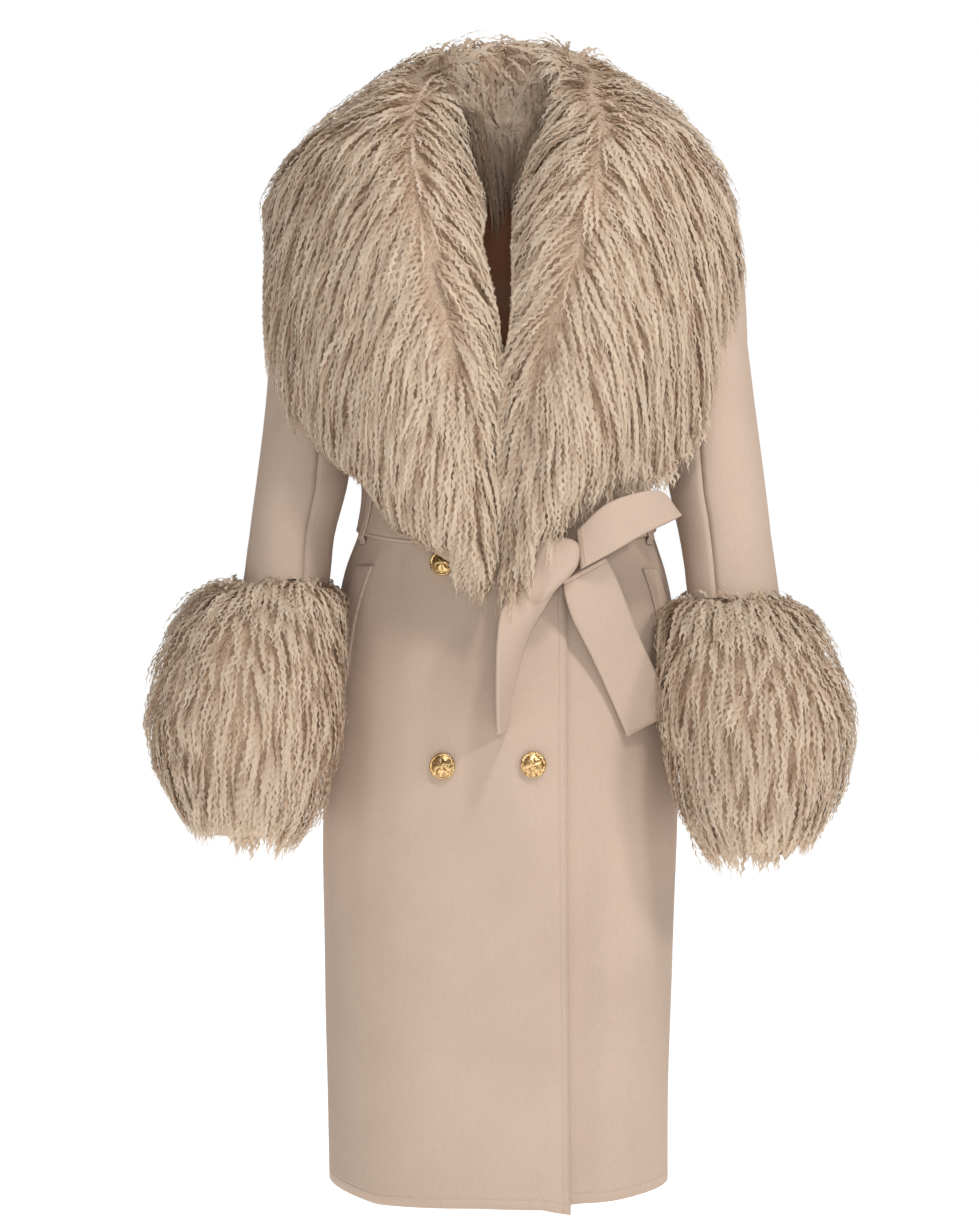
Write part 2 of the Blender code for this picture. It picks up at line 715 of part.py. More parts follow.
def band_mesh(name, rows, columns, steps):
    """A band through rows of centre and half-width vector, with a smooth curve along it."""
    table = np.hstack([np.linspace(0, 1, len(rows))[:, None], rows])

    def place(u, v):
        found = read_table(table, v)
        return found[..., :3] + found[..., 3:] * (2 * u - 1)[..., None]
    return grid_mesh(name, columns, steps, place)


def new_knot(name, collection, margin):
    """The knot, a rounded block, larger by margin on each side."""
    bpy.ops.mesh.primitive_cube_add(size=2)
    knot = bpy.context.active_object
    knot.name = knot.data.name = name
    knot.data.transform(Matrix.Diagonal([(h + margin) * MM for h in KNOT_HALF] + [1]))
    knot.data.transform(Matrix.Rotation(math.radians(KNOT_LEAN), 4, "Y"))
    knot.data.transform(Matrix.Translation(Vector(KNOT_CENTRE) * MM))
    for owner in list(knot.users_collection):
        owner.objects.unlink(knot)
    collection.objects.link(knot)
    round_off = knot.modifiers.new("round", "BEVEL")
    round_off.width = 11 * MM
    round_off.segments = 3
    return knot


def build_tie(collection, wool):
    for name, rows, steps in (
        ("belt_tail_long", TAIL_LONG, 10),
        ("belt_tail_short", TAIL_SHORT, 12),
        ("belt_bow", BOW, 24),
    ):
        add_wall(new_object(name, band_mesh(name, rows, 4, steps), collection, wool), BELT_THICK, 0.0)
    new_knot("belt_knot", collection, 0.0).data.materials.append(wool)


def strip_mesh(name, side, ends, clear):
    """A strip on the coat between two slanting lines, each end given as height, inner y, outer y."""
    (z_top, in_top, out_top), (z_low, in_low, out_low) = ends

    def place(u, v):
        z = z_low + (z_top - z_low) * v
        inner = in_low + (in_top - in_low) * v
        outer = out_low + (out_top - out_low) * v
        return body_point(angle_at_y(inner + (outer - inner) * u, z, side), z, clear)
    return grid_mesh(name, 3, 8, place)


def build_trim(collection, wool):
    for name, (side, top, low) in WELT.items():
        mesh = strip_mesh(name, side, (top, low), 0.6)
        face_out(mesh, from_body_axis)
        add_wall(new_object(name, mesh, collection, wool), WELT_THICK, 1.0)
    for word, side in (("right", -1), ("left", 1)):
        name = f"belt_carrier_{word}"
        middle = BELT_HEIGHT + BELT_TILT * CARRIER_Y
        tall = BELT_HALF + CARRIER_PAST

        def place(u, v, side=side, middle=middle, tall=tall):
            z = middle + tall * (2 * v - 1)
            rise = BELT_CLEAR + BELT_THICK + CARRIER_CLEAR
            over_belt = 1 - smooth_step(np.abs(2 * v - 1) * tall, BELT_HALF + 1.0, BELT_HALF + 6.0)
            out = CARRIER_CLEAR + (rise - CARRIER_CLEAR) * over_belt
            return body_point(angle_at_y(CARRIER_Y + CARRIER_WIDTH * (u - 0.5), z, side), z, out)

        mesh = grid_mesh(name, 1, 24, place)
        face_out(mesh, from_body_axis)
        add_wall(new_object(name, mesh, collection, wool), CARRIER_THICK, 1.0)


def build_buttons(collection, metal):
    for name, (x, z) in BUTTONS.items():
        angle = angle_at_x(np.float64(x), np.float64(z))
        seat = body_point(angle, z, BUTTON_SEAT)
        normal = body_point(angle, z, BUTTON_SEAT + 1.0) - seat
        mesh = bpy.data.meshes.new(name)
        mesh.from_pydata([(r * MM, 0, h * MM) for r, h in BUTTON_PROFILE],
                         [(i, i + 1) for i in range(len(BUTTON_PROFILE) - 1)], [])
        button = new_object(name, mesh, collection, metal)
        button.location = Vector(seat) * MM
        button.rotation_euler = Vector(normal).to_track_quat("Z", "Y").to_euler()
        turned = button.modifiers.new("turned", "SCREW")
        turned.steps = turned.render_steps = 14
        turned.use_merge_vertices = True
        turned.merge_threshold = 0.00002


def build_coat():
    clear_scene()
    coat = new_collection("wool_coat")
    cutters = new_collection("cutters")
    wool = new_material("felted_wool", WOOL)
    fur = new_material("curly_lamb", FUR)
    metal = new_material("gilt_metal", METAL)
    build_body(coat, wool)
    build_sleeves(coat, wool)
    build_cuffs(coat, cutters, fur)
    build_collar(coat, cutters, fur)
    build_belt(coat, wool)
    build_tie(coat, wool)
    build_trim(coat, wool)
    build_buttons(coat, metal)


build_coat()
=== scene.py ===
"""A belted wool coat with a curly lamb shawl collar and cuffs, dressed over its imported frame.

The wearer's right front, on top, is at the viewer's left. Tables and functions work in millimetres.
"""

import math

import bmesh
import bpy
import numpy as np
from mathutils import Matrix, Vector
from mathutils.bvhtree import BVHTree


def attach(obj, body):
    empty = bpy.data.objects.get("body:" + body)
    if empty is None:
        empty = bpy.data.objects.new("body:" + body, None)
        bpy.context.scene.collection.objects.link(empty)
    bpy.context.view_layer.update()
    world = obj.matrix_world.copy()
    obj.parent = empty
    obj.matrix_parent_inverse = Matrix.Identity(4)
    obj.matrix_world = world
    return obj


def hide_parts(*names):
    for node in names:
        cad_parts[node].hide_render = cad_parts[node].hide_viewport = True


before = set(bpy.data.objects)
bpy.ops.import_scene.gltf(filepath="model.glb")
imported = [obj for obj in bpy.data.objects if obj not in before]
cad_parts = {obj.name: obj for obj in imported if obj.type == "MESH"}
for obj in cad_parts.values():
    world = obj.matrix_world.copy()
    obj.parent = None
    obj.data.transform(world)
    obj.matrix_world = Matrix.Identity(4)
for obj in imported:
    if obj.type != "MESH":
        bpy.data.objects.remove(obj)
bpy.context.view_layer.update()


# Top front, wearer's right
# Half of the coat's front in double-faced wool, felted and brushed. It laps over the left front, and
# its edge and hem are turned in and stitched through.

MM = 0.001
WALL = 2.5
WALL_INSIDE, WALL_BOTH, WALL_OUTSIDE = -1.0, 0.0, 1.0       # of the surface that the tables describe
MEAN_RADIUS = 150.0
SECTION_POWER = 2.2
HEM = -1050.0
BELT_HEIGHT, BELT_TILT, BELT_HALF = -374.0, 0.2, 25.0

# Body sections. height, centre x, half width, depth in front, depth behind
BODY = np.array([
    (0, 6, 74, 50, 58),
    (-12, 6, 105, 56, 63),
    (-25, 6, 140, 61, 68),
    (-38, 6, 172, 66, 72),
    (-50, 6, 195, 70, 75),
    (-75, 6, 188, 84, 85),
    (-110, 6, 176, 98, 97),
    (-150, 6, 163, 112, 108),
    (-200, 6, 154, 122, 106),
    (-260, 6, 150, 116, 98),
    (-320, 6, 145, 106, 92),
    (-374, 6, 141, 101, 90),
    (-396, 6, 145, 104, 96),
    (-442, 5, 160, 109, 106),
    (-470, 5, 166, 113, 110),
    (-540, 4, 172, 120, 122),
    (-620, 2, 176, 125, 126),
    (-700, 0, 176.5, 127, 127),
    (-826, -1.5, 173.5, 127, 126),
    (-996, -2, 169.5, 126, 126),
    (-1070, -1, 168.5, 127, 127),
], float)

# Broad folds of the skirt. angle in degrees (-90 is the front), half width in degrees, depth, top, bottom
FOLDS = np.array([
    (-64, 6, -6.5, -560, -1060),
    (-118, 9, 2.5, -430, -640),
    (-146, 9, -3.0, -470, -760),
    (-30, 8, -2.5, -460, -720),
    (58, 9, -5.0, -440, -1060),
    (90, 8, 4.0, -420, -1060),
    (124, 9, -5.0, -430, -1060),
    (14, 7, 2.5, -600, -1060),
], float)

# Soft creases. angle and height of the upper end, angle and height of the lower end, half width, depth
CREASES = np.array([
    (-131, -402, -126, -478, 7, -1.6),
    (-112, -404, -107, -462, 6, -1.3),
    (-141, -404, -146, -520, 8, 1.3),
    (-100, -410, -99, -500, 9, 1.0),
    (-83, -412, -85, -482, 6, -1.2),
    (-60, -455, -57, -540, 7, -1.4),
    (-46, -404, -52, -492, 8, -1.8),
    (-36, -404, -33, -470, 6, 1.3),
    (-24, -404, -29, -515, 7, -1.2),
    (-9, -404, -14, -480, 7, -1.3),
    (8, -402, 4, -500, 8, -1.2),
    (26, -400, 29, -470, 7, -1.7),
    (40, -398, 36, -520, 9, 1.5),
    (57, -398, 60, -478, 7, -1.5),
    (72, -398, 69, -540, 9, -1.2),
    (88, -398, 90, -470, 7, 1.2),
    (101, -398, 98, -500, 8, -1.7),
    (118, -398, 123, -472, 7, -1.2),
    (137, -400, 133, -530, 9, 1.3),
    (151, -400, 155, -476, 7, -1.5),
    (172, -402, 168, -505, 8, -1.3),
    (-170, -404, -166, -470, 7, -1.3),
    (-128, -620, -133, -900, 16, -1.2),
    (-104, -560, -110, -980, 18, 1.1),
    (-79, -700, -81, -1040, 13, -1.0),
    (-48, -640, -45, -1050, 15, 1.6),
    (-22, -600, -27, -930, 14, -1.4),
    (34, -560, 38, -1000, 17, -1.3),
    (75, -600, 73, -1050, 16, 1.4),
    (107, -570, 104, -940, 15, -1.3),
    (146, -560, 143, -1010, 17, 1.3),
    (166, -620, 170, -980, 15, -1.1),
    (30, -150, 42, -300, 12, -1.6),
    (62, -120, 70, -330, 15, 1.1),
    (118, -130, 110, -330, 15, -1.1),
    (150, -150, 140, -300, 12, -1.6),
    (25, -352, 33, -290, 7, -1.3),
    (80, -350, 78, -300, 7, -1.1),
    (100, -350, 104, -285, 7, 1.2),
    (155, -352, 148, -290, 7, -1.3),
    (-20, -352, -12, -285, 7, -1.3),
    (-160, -352, -168, -285, 7, -1.3),
    (0, -352, 3, -260, 9, 1.2),
    (180, -352, 176, -262, 9, 1.2),
], float)

ARMHOLE_HEIGHT, ARMHOLE_TALL, ARMHOLE_DEEP = -122.0, 74.0, 58.0
NECK_TOP = -4.0
TOP_EDGE_X, UNDER_EDGE_X = 64.0, -66.0
BREAK_HEIGHT = -400.0
NECK_HALF_WIDTH = 68.0
EDGE_BOW = 0.32         # how much sooner than a straight line the edges part above the break
EDGE_DRIFT = 5.0
SEAM = 0.1              # half of the gap between two panels
SEAM_SINK = 0.7
LAP = 4.0


def read_table(table, at):
    """The table's other columns at the heights or stations in at, on a smooth curve through its rows."""
    order = np.argsort(table[:, 0])
    key, rows = table[order, 0], table[order, 1:]
    slope = np.gradient(rows, key, axis=0)
    at = np.clip(np.asarray(at, float), key[0], key[-1])
    i = np.clip(np.searchsorted(key, at) - 1, 0, len(key) - 2)
    step = key[i + 1] - key[i]
    t = ((at - key[i]) / step)[..., None]
    step = step[..., None]
    return (rows[i] * (1 + 2 * t) * (1 - t) ** 2 + slope[i] * step * t * (1 - t) ** 2
            + rows[i + 1] * t**2 * (3 - 2 * t) + slope[i + 1] * step * t**2 * (t - 1))


def smooth_step(x, low, high):
    t = np.clip((x - low) / (high - low), 0, 1)
    return t * t * (3 - 2 * t)


def bell(off, half):
    """1 where off is 0, falling away on either side over about half."""
    return np.exp(-((off / half) ** 2))


def degrees_off(angle, middle):
    """Signed degrees from middle to angle, half a turn at most."""
    return (angle - middle + 180) % 360 - 180


def superellipse(angle, power):
    c, s = np.cos(angle), np.sin(angle)
    return np.sign(c) * np.abs(c) ** (2 / power), np.sign(s) * np.abs(s) ** (2 / power)


def folds_at(angle, z):
    total = 0.0
    for middle, half, depth, top, bottom in FOLDS:
        grow = smooth_step(-z, -top, -(top + bottom) / 2)
        fade = 1 - smooth_step(-z, -bottom, -bottom + 60)
        total = total + depth * bell(degrees_off(np.degrees(angle), middle), half) * grow * fade
    return total


def creases_at(angle, z):
    """Height of the soft creases over the body's surface, with a slight waver along each."""
    total = np.zeros(np.broadcast(angle, z).shape)
    for top_angle, top, low_angle, low, half, depth in CREASES:
        share = (z - top) / (low - top)
        middle = top_angle + (low_angle - top_angle) * share + 0.9 * np.sin(z / 31 + top_angle)
        off = degrees_off(np.degrees(angle), middle) * math.radians(1) * MEAN_RADIUS
        ends = smooth_step(share, -0.06, 0.28) * (1 - smooth_step(share, 0.5, 1.06))
        total = total + depth * bell(off, half) * ends
    return total


def body_surface(angle, z):
    row = read_table(BODY, z)
    c, s = superellipse(angle, SECTION_POWER)
    grow = folds_at(angle, z)
    x = row[..., 0] + (row[..., 1] + grow) * c
    y = np.where(s < 0, row[..., 2] + grow, row[..., 3] + grow) * s
    return np.stack([x, y, np.broadcast_to(z, x.shape)], -1)


def body_point(angle, z, out=0.0):
    """A point of the coat's outer face, moved out along its normal."""
    angle, z = np.broadcast_arrays(np.asarray(angle, float), np.asarray(z, float))
    here = body_surface(angle, z)
    across = body_surface(angle + 0.01, z) - body_surface(angle - 0.01, z)
    down = body_surface(angle, z - 1.0) - body_surface(angle, z + 1.0)
    normal = np.cross(down, across)
    normal /= np.linalg.norm(normal, axis=-1, keepdims=True)
    return here + normal * np.asarray(out)[..., None]


def angle_at_x(x, z, front=True):
    row = read_table(BODY, z)
    share = np.clip((x - row[..., 0]) / row[..., 1], -1, 1)
    angle = np.arccos(np.sign(share) * np.abs(share) ** (SECTION_POWER / 2))
    return -angle if front else angle


def angle_at_y(y, z, side):
    """The angle on one side (1 is +X, -1 is -X) where the body's outline reaches y."""
    row = read_table(BODY, z)
    depth = np.where(np.asarray(y) < 0, row[..., 2], row[..., 3])
    share = np.clip(np.asarray(y) / depth, -1, 1)
    angle = np.arcsin(np.sign(share) * np.abs(share) ** (SECTION_POWER / 2))
    return angle if side > 0 else math.pi * np.where(share < 0, -1, 1) - angle


def armhole_half_depth(z):
    share = np.clip((z - ARMHOLE_HEIGHT) / ARMHOLE_TALL, -1, 1)
    return ARMHOLE_DEEP * np.sqrt(1 - share**2)


def panel_heights(skirt=52, waist=26, chest=14, armhole=22, shoulder=6):
    """Row heights from hem to neck, closest at the waist and the shoulder."""
    turns = np.linspace(0, math.pi, armhole)
    return np.concatenate([
        np.linspace(HEM, -485, skirt), np.linspace(-480, -345, waist), np.linspace(-340, -200, chest),
        ARMHOLE_HEIGHT - ARMHOLE_TALL * np.cos(turns), np.linspace(-44, NECK_TOP, shoulder)])


heights = panel_heights()


def row_height(v):
    return np.interp(v, np.linspace(0, 1, len(heights)), heights)


def hem_shift(x, z, rows):
    x_at, change = zip(*rows)
    return np.interp(x, x_at, change) * smooth_step(-z, 900, 1050)


def belt_middle(angle):
    """Height of the belt's middle, which is lower in front."""
    return BELT_HEIGHT + BELT_TILT * body_surface(angle, np.full(np.shape(angle), BELT_HEIGHT))[..., 1]


def under_belt(angle, z):
    """1 where the belt presses the cloth flat."""
    return 1 - smooth_step(np.abs(z - belt_middle(angle)), BELT_HALF, BELT_HALF + 12)


def cloth_relief(angle, z):
    """Creases and a slight unevenness, none of them under the belt or near the shoulder seams."""
    uneven = 0.35 * np.sin(5.1 * angle + z / 47) * np.sin(3.3 * angle - z / 71 + 1.3)
    return (creases_at(angle, z) + uneven) * (1 - under_belt(angle, z)) * smooth_step(-z, 60, 120)


def seam_groove(u, sharpness):
    """How far the cloth is drawn in at a seam, where u is 0."""
    return SEAM_SINK * bell(u * sharpness, 1)


def front_panel(side):
    """side -1 is the top front, 1 the under front. u runs from the side seam to the front edge."""
    def place(u, v):
        z = row_height(v)
        seam = angle_at_y(-(armhole_half_depth(z) + SEAM), z, side)
        share = np.clip((z - BREAK_HEIGHT) / (NECK_TOP - BREAK_HEIGHT), 0, 1)
        share = share + EDGE_BOW * share * (1 - share)
        straight = TOP_EDGE_X + EDGE_DRIFT * smooth_step(-z, 600, 1050) if side < 0 else UNDER_EDGE_X
        edge_x = straight * (1 - share) + (BODY[0, 1] + side * NECK_HALF_WIDTH) * share
        angle = seam + (angle_at_x(edge_x, z) - seam) * u
        x = body_surface(angle, z)[..., 0]
        relief = cloth_relief(angle, z) - seam_groove(u, 80)
        if side < 0:
            sink = 0.0
            relief = relief + 0.5 * smooth_step(x, edge_x - 9, edge_x - 4) * smooth_step(-z, 400, 430)
            z = z + hem_shift(x, z, [(-175, 7), (-120, -4), (-25, -2), (40, -4), (69, -11)])
        else:
            sink = LAP * (1 - smooth_step(x, TOP_EDGE_X + 6, TOP_EDGE_X + 50))
            relief = relief * smooth_step(x, TOP_EDGE_X + 14, TOP_EDGE_X + 34)
            z = z + hem_shift(x, z, [(-70, 2), (70, -2), (120, 1), (170, 5)])
        return body_point(angle, z, relief - sink)
    return place


def grid_mesh(name, columns, rows, place):
    """A mesh from a grid whose points place(u, v) gives, with UVs in metres: along each row from u = 1,
    and along each column from v = 0."""
    u, v = np.meshgrid(np.linspace(0, 1, columns + 1), np.linspace(0, 1, rows + 1))
    points = place(u.ravel(), v.ravel()).reshape(rows + 1, columns + 1, 3) * MM
    across = np.linalg.norm(np.diff(points, axis=1), axis=-1)[:, ::-1]
    across = np.hstack([np.zeros((rows + 1, 1)), np.cumsum(across, axis=1)])[:, ::-1]
    along = np.linalg.norm(np.diff(points, axis=0), axis=-1)
    along = np.vstack([np.zeros((1, columns + 1)), np.cumsum(along, axis=0)])
    spots = np.stack([across, along], -1).reshape(-1, 2)
    corner = (np.arange(rows)[:, None] * (columns + 1) + np.arange(columns)).ravel()
    faces = np.stack([corner, corner + 1, corner + columns + 2, corner + columns + 1], -1)
    mesh = bpy.data.meshes.new(name)
    mesh.from_pydata(points.reshape(-1, 3).tolist(), [], faces.tolist())
    layer = mesh.uv_layers.new(name="cloth")
    layer.data.foreach_set("uv", spots[faces.ravel()].ravel().astype(np.float32))
    mesh.shade_smooth()
    return mesh


def face_out(mesh, centre):
    """Turns a mesh's faces away from the points that centre(z) gives, as x and y in metres."""
    votes = 0.0
    for face in mesh.polygons:
        x, y = centre(face.center.z)
        votes += face.area * (face.normal.x * (face.center.x - x) + face.normal.y * (face.center.y - y))
    if votes < 0:
        mesh.flip_normals()


def body_axis(z):
    return BODY[0, 1] * MM, 0.0


def new_piece(name, mesh, *finishes):
    piece = bpy.data.objects.new(name, mesh)
    bpy.context.scene.collection.objects.link(piece)
    for finish in finishes:
        mesh.materials.append(finish)
    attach(piece, "root")
    return piece


def cloth_piece(node, place, grid, finish, thickness, wall_side, inner=None, axis=body_axis, **sheet):
    """A sheet of cloth in place of a CAD node. grid is its columns and rows, inner the finish of its other
    side, and axis what its outer side faces away from."""
    mesh = grid_mesh(f"cloth_{node}", *grid, place)
    if axis:
        face_out(mesh, axis)
    piece = new_piece(f"cloth_{node}", mesh, *filter(None, (finish, inner)))
    wall = piece.modifiers.new("wall", "SOLIDIFY")
    wall.thickness = thickness * MM
    wall.offset = wall_side
    wall.use_even_offset = True
    wall.material_offset = 1 if inner else 0
    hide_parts(node)


def srgb(code):
    """Linear colour of an sRGB hex code."""
    parts = [int(code[i:i + 2], 16) / 255 for i in (1, 3, 5)]
    return tuple(c / 12.92 if c <= 0.04045 else ((c + 0.055) / 1.055) ** 2.4 for c in parts) + (1.0,)


def set_inputs(tree, node, inputs):
    for key, value in inputs.items():
        if isinstance(value, bpy.types.NodeSocket):
            tree.links.new(value, node.inputs[key])
        else:
            node.inputs[key].default_value = value
    return node


def add_node(tree, kind, inputs=None, **settings):
    """Adds a node with its settings, and sets or links its inputs."""
    node = tree.nodes.new(kind)
    for key, value in settings.items():
        setattr(node, key, value)
    return set_inputs(tree, node, inputs or {})


def maths(tree, operation, *values, clamp=False):
    """The result of a maths node, whose values are numbers or other nodes' outputs."""
    values = dict(enumerate(values))
    return add_node(tree, "ShaderNodeMath", values, operation=operation, use_clamp=clamp).outputs[0]


def tones(tree, factor, *stops):
    """Colours along the factor. Each stop is a place from 0 to 1 and a colour."""
    ramp = add_node(tree, "ShaderNodeValToRGB", {"Fac": factor})
    elements = ramp.color_ramp.elements
    for i in (0, -1):
        elements[i].position, elements[i].color = stops[i][0], srgb(stops[i][1])
    for place, colour in stops[1:-1]:
        elements.new(place).color = srgb(colour)
    return ramp.outputs[0]


def here_on_object(tree):
    return add_node(tree, "ShaderNodeTexCoord").outputs["Object"]


def new_finish(name):
    finish = bpy.data.materials.new(name)
    finish.use_nodes = True
    tree = finish.node_tree
    return finish, tree, tree.nodes["Principled BSDF"]


STITCH_LENGTH, STITCH_GROOVE = 0.0038, 0.0016       # metres


def felted_wool(name, light, dark, stitch_edge=None, stitch_hem=None):
    """Double-faced wool, milled and brushed: a short dense nap with a soft sheen. stitch_edge and
    stitch_hem are the distances of the stitch lines from u = 1 and from v = 0, in millimetres."""
    finish, tree, skin = new_finish(name)
    place = here_on_object(tree)
    cloud = add_node(tree, "ShaderNodeTexNoise", {"Vector": place, "Scale": 9.0, "Detail": 4.0})
    stretch = add_node(tree, "ShaderNodeMapping", {"Vector": place, "Scale": (1.0, 1.0, 0.28)})
    nap = add_node(tree, "ShaderNodeTexNoise", {"Vector": stretch.outputs[0], "Scale": 620.0, "Detail": 3.0,
                                                "Roughness": 0.6, "Distortion": 0.8})
    pill = add_node(tree, "ShaderNodeTexNoise", {"Vector": place, "Scale": 260.0, "Detail": 3.0})
    mix = maths(tree, "MULTIPLY_ADD", nap.outputs[0], 0.45, maths(tree, "MULTIPLY", cloud.outputs[0], 0.55))
    height = maths(tree, "MULTIPLY_ADD", pill.outputs[0], 0.5, nap.outputs[0])
    bump = add_node(tree, "ShaderNodeBump", {"Height": height, "Distance": 0.0004, "Strength": 0.35})
    spots = add_node(tree, "ShaderNodeSeparateXYZ",
                     {0: add_node(tree, "ShaderNodeUVMap", uv_map="cloth").outputs[0]})
    for axis, line in ((0, stitch_edge), (1, stitch_hem)):
        if line is None:
            continue
        off = maths(tree, "ABSOLUTE", maths(tree, "SUBTRACT", spots.outputs[axis], line * MM))
        groove = add_node(tree, "ShaderNodeMapRange", {"Value": off, "From Max": STITCH_GROOVE},
                          interpolation_type="SMOOTHSTEP").outputs[0]
        pitch = maths(tree, "MULTIPLY", spots.outputs[1 - axis], 2 * math.pi / STITCH_LENGTH)
        inside = maths(tree, "SUBTRACT", 0.3, groove, clamp=True)
        thread = maths(tree, "MULTIPLY_ADD", maths(tree, "SINE", pitch), inside, groove)
        bump = add_node(tree, "ShaderNodeBump", {"Height": thread, "Distance": 0.0009, "Strength": 0.6,
                                                 "Normal": bump.outputs[0]})
    set_inputs(tree, skin, {
        "Base Color": tones(tree, mix, (0.3, dark), (0.7, light)), "Normal": bump.outputs[0],
        "Roughness": 0.92, "Specular IOR Level": 0.18, "Sheen Weight": 0.15, "Sheen Roughness": 0.45,
        "Sheen Tint": srgb("#f3e0d0")})
    return finish


def lining_cloth():
    """Brown satin lining, seen dark in the neck opening and from below."""
    finish, tree, skin = new_finish("lining_satin_brown")
    slub = add_node(tree, "ShaderNodeTexNoise", {"Vector": here_on_object(tree), "Scale": 300.0,
                                                 "Detail": 2.0})
    colour = tones(tree, slub.outputs[0], (0, "#9a6238"), (1, "#b37544"))
    set_inputs(tree, skin, {"Base Color": colour, "Roughness": 0.5})
    return finish


LIGHT, DARK = "#bfa998", "#b29c8b"
wool_front = felted_wool("wool_stitched_edge", LIGHT, DARK, stitch_edge=8.0, stitch_hem=10.0)
wool_hem = felted_wool("wool_stitched_hem", LIGHT, DARK, stitch_hem=10.0)
wool_plain = felted_wool("wool_felted", LIGHT, DARK)
lining = lining_cloth()
cloth_piece("front_right", front_panel(-1), (44, len(heights) - 1), wool_front, WALL, WALL_INSIDE, lining,
            flat=(0.33, 1.10), held="hung", rests_on=["front_left"], area=0.27)


# Under front, wearer's left
# The other half of the front, in the same cloth. It passes behind the top front and shows right of that
# one's edge. Its hem is turned in and stitched too.

cloth_piece("front_left", front_panel(1), (44, len(heights) - 1), wool_hem, WALL, WALL_INSIDE, lining,
            flat=(0.33, 1.10), held="hung", rests_on=["front_right"], area=0.27)


# Back
# One panel of the same wool from the neck seam to the hem, sewn to the fronts at the shoulders and
# down the sides.

def back_panel(u, v):
    z = row_height(v)
    deep = armhole_half_depth(z) + SEAM
    left, right = angle_at_y(deep, z, 1), angle_at_y(deep, z, -1)
    angle = left + (right - left) * u
    pulled = seam_groove(u, 110) + seam_groove(1 - u, 110)
    return body_point(angle, z + 5 * smooth_step(-z, 900, 1050), cloth_relief(angle, z) - pulled)


cloth_piece("back", back_panel, (56, len(heights) - 1), wool_hem, WALL, WALL_INSIDE, lining,
            flat=(0.50, 1.10), held="hung", rests_on=["front_right", "front_left"], area=0.42)


# Sleeves
# Two-piece sleeves set into the armholes, bent a little at the elbow. The cloth buckles softly inside
# the bend and above the fur cuff.

# height, centre x, centre y, half width, half depth
SLEEVE_LEFT = np.array([
    (-215, 205, 0, 42, 58),
    (-281, 208, -2, 47, 57),
    (-350, 215, -12, 48, 54),
    (-421, 225, -28, 45, 50),
    (-460, 229, -42, 45, 48),
    (-520, 236, -65, 42, 45),
    (-616, 248, -95, 36, 40),
], float)
SLEEVE_RIGHT = np.array([
    (-215, -190.5, 0, 38.5, 58),
    (-281, -191, -2, 43.5, 57),
    (-350, -196.5, -12, 45.5, 54),
    (-412, -207, -28, 42, 50),
    (-450, -210, -42, 42.5, 48),
    (-510, -222, -65, 40, 45),
    (-600, -240, -95, 36, 40),
], float)
FRONT_SEAM_TOP, FRONT_SEAM_WRIST, BACK_SEAM = -105.0, -122.0, 130.0
SLEEVE_EASE = 1.8
SLEEVE_POWER = 2.1
# Creases. angle round the sleeve and height of one end, of the other end, half width, depth
SLEEVE_CREASES = np.array([
    (-150, -300, -95, -330, 7, -1.8),
    (-160, -335, -85, -352, 6, -1.5),
    (-150, -372, -100, -362, 8, 1.3),
    (-120, -395, -60, -380, 8, -1.4),
    (-60, -425, -10, -405, 9, -1.2),
    (-100, -440, -40, -452, 9, -1.6),
    (100, -420, 170, -440, 9, -1.6),
    (60, -390, 120, -372, 8, 1.2),
    (-80, -250, -40, -300, 12, -1.4),
    (10, -240, 30, -330, 14, 1.1),
    (60, -230, 95, -300, 12, -1.4),
    (150, -290, 210, -310, 7, -1.8),
    (20, -360, 60, -400, 12, -1.0),
], float)


def sleeve_creases(turn, z):
    total = np.zeros(np.broadcast(turn, z).shape)
    for angle_a, z_a, angle_b, z_b, half, depth in SLEEVE_CREASES:
        off = degrees_off(np.degrees(turn), angle_a)
        share = off / degrees_off(angle_b, angle_a)
        middle = z_a + (z_b - z_a) * np.clip(share, -0.3, 1.3) + 2.0 * np.sin(off / 13)
        ends = smooth_step(share, -0.35, 0.3) * (1 - smooth_step(share, 0.6, 1.35))
        total = total + depth * bell(z - middle, half) * ends
    return total


def sleeve_ring(rings, side, turn, z):
    row = read_table(rings, z)
    c, s = superellipse(turn, SLEEVE_POWER)
    return np.stack([row[..., 0] + side * row[..., 2] * c, row[..., 1] + row[..., 3] * s,
                     np.broadcast_to(z, c.shape)], -1)


def sleeve_surface(rings, side, turn, along):
    """turn goes round from the sleeve's outer side, -90 degrees in front. along is 0 at the armhole,
    1 at the first ring and 2 at the wrist."""
    first, wrist = rings[0, 0], rings[-1, 0]
    y, z = ARMHOLE_DEEP * np.sin(turn), ARMHOLE_HEIGHT + ARMHOLE_TALL * np.cos(turn)
    root = body_surface(angle_at_y(y, z, side), z) + np.array([side * SLEEVE_EASE, 0, 0])
    end = sleeve_ring(rings, side, turn, np.full(turn.shape, first))
    lean = (0.5 + 0.45 * np.cos(turn))[..., None]
    bend = np.concatenate([root[..., :1] + (end - root)[..., :1] * lean, (root + end)[..., 1:2] / 2,
                           root[..., 2:] + (end - root)[..., 2:] * (1 - lean)], -1)
    t = np.clip(along, 0, 1)[..., None]
    head = root * (1 - t) ** 2 + bend * 2 * t * (1 - t) + end * t**2
    tube = sleeve_ring(rings, side, turn, first + (wrist - first) * np.clip(along - 1, 0, 1))
    return np.where((along > 1)[..., None], tube, head)


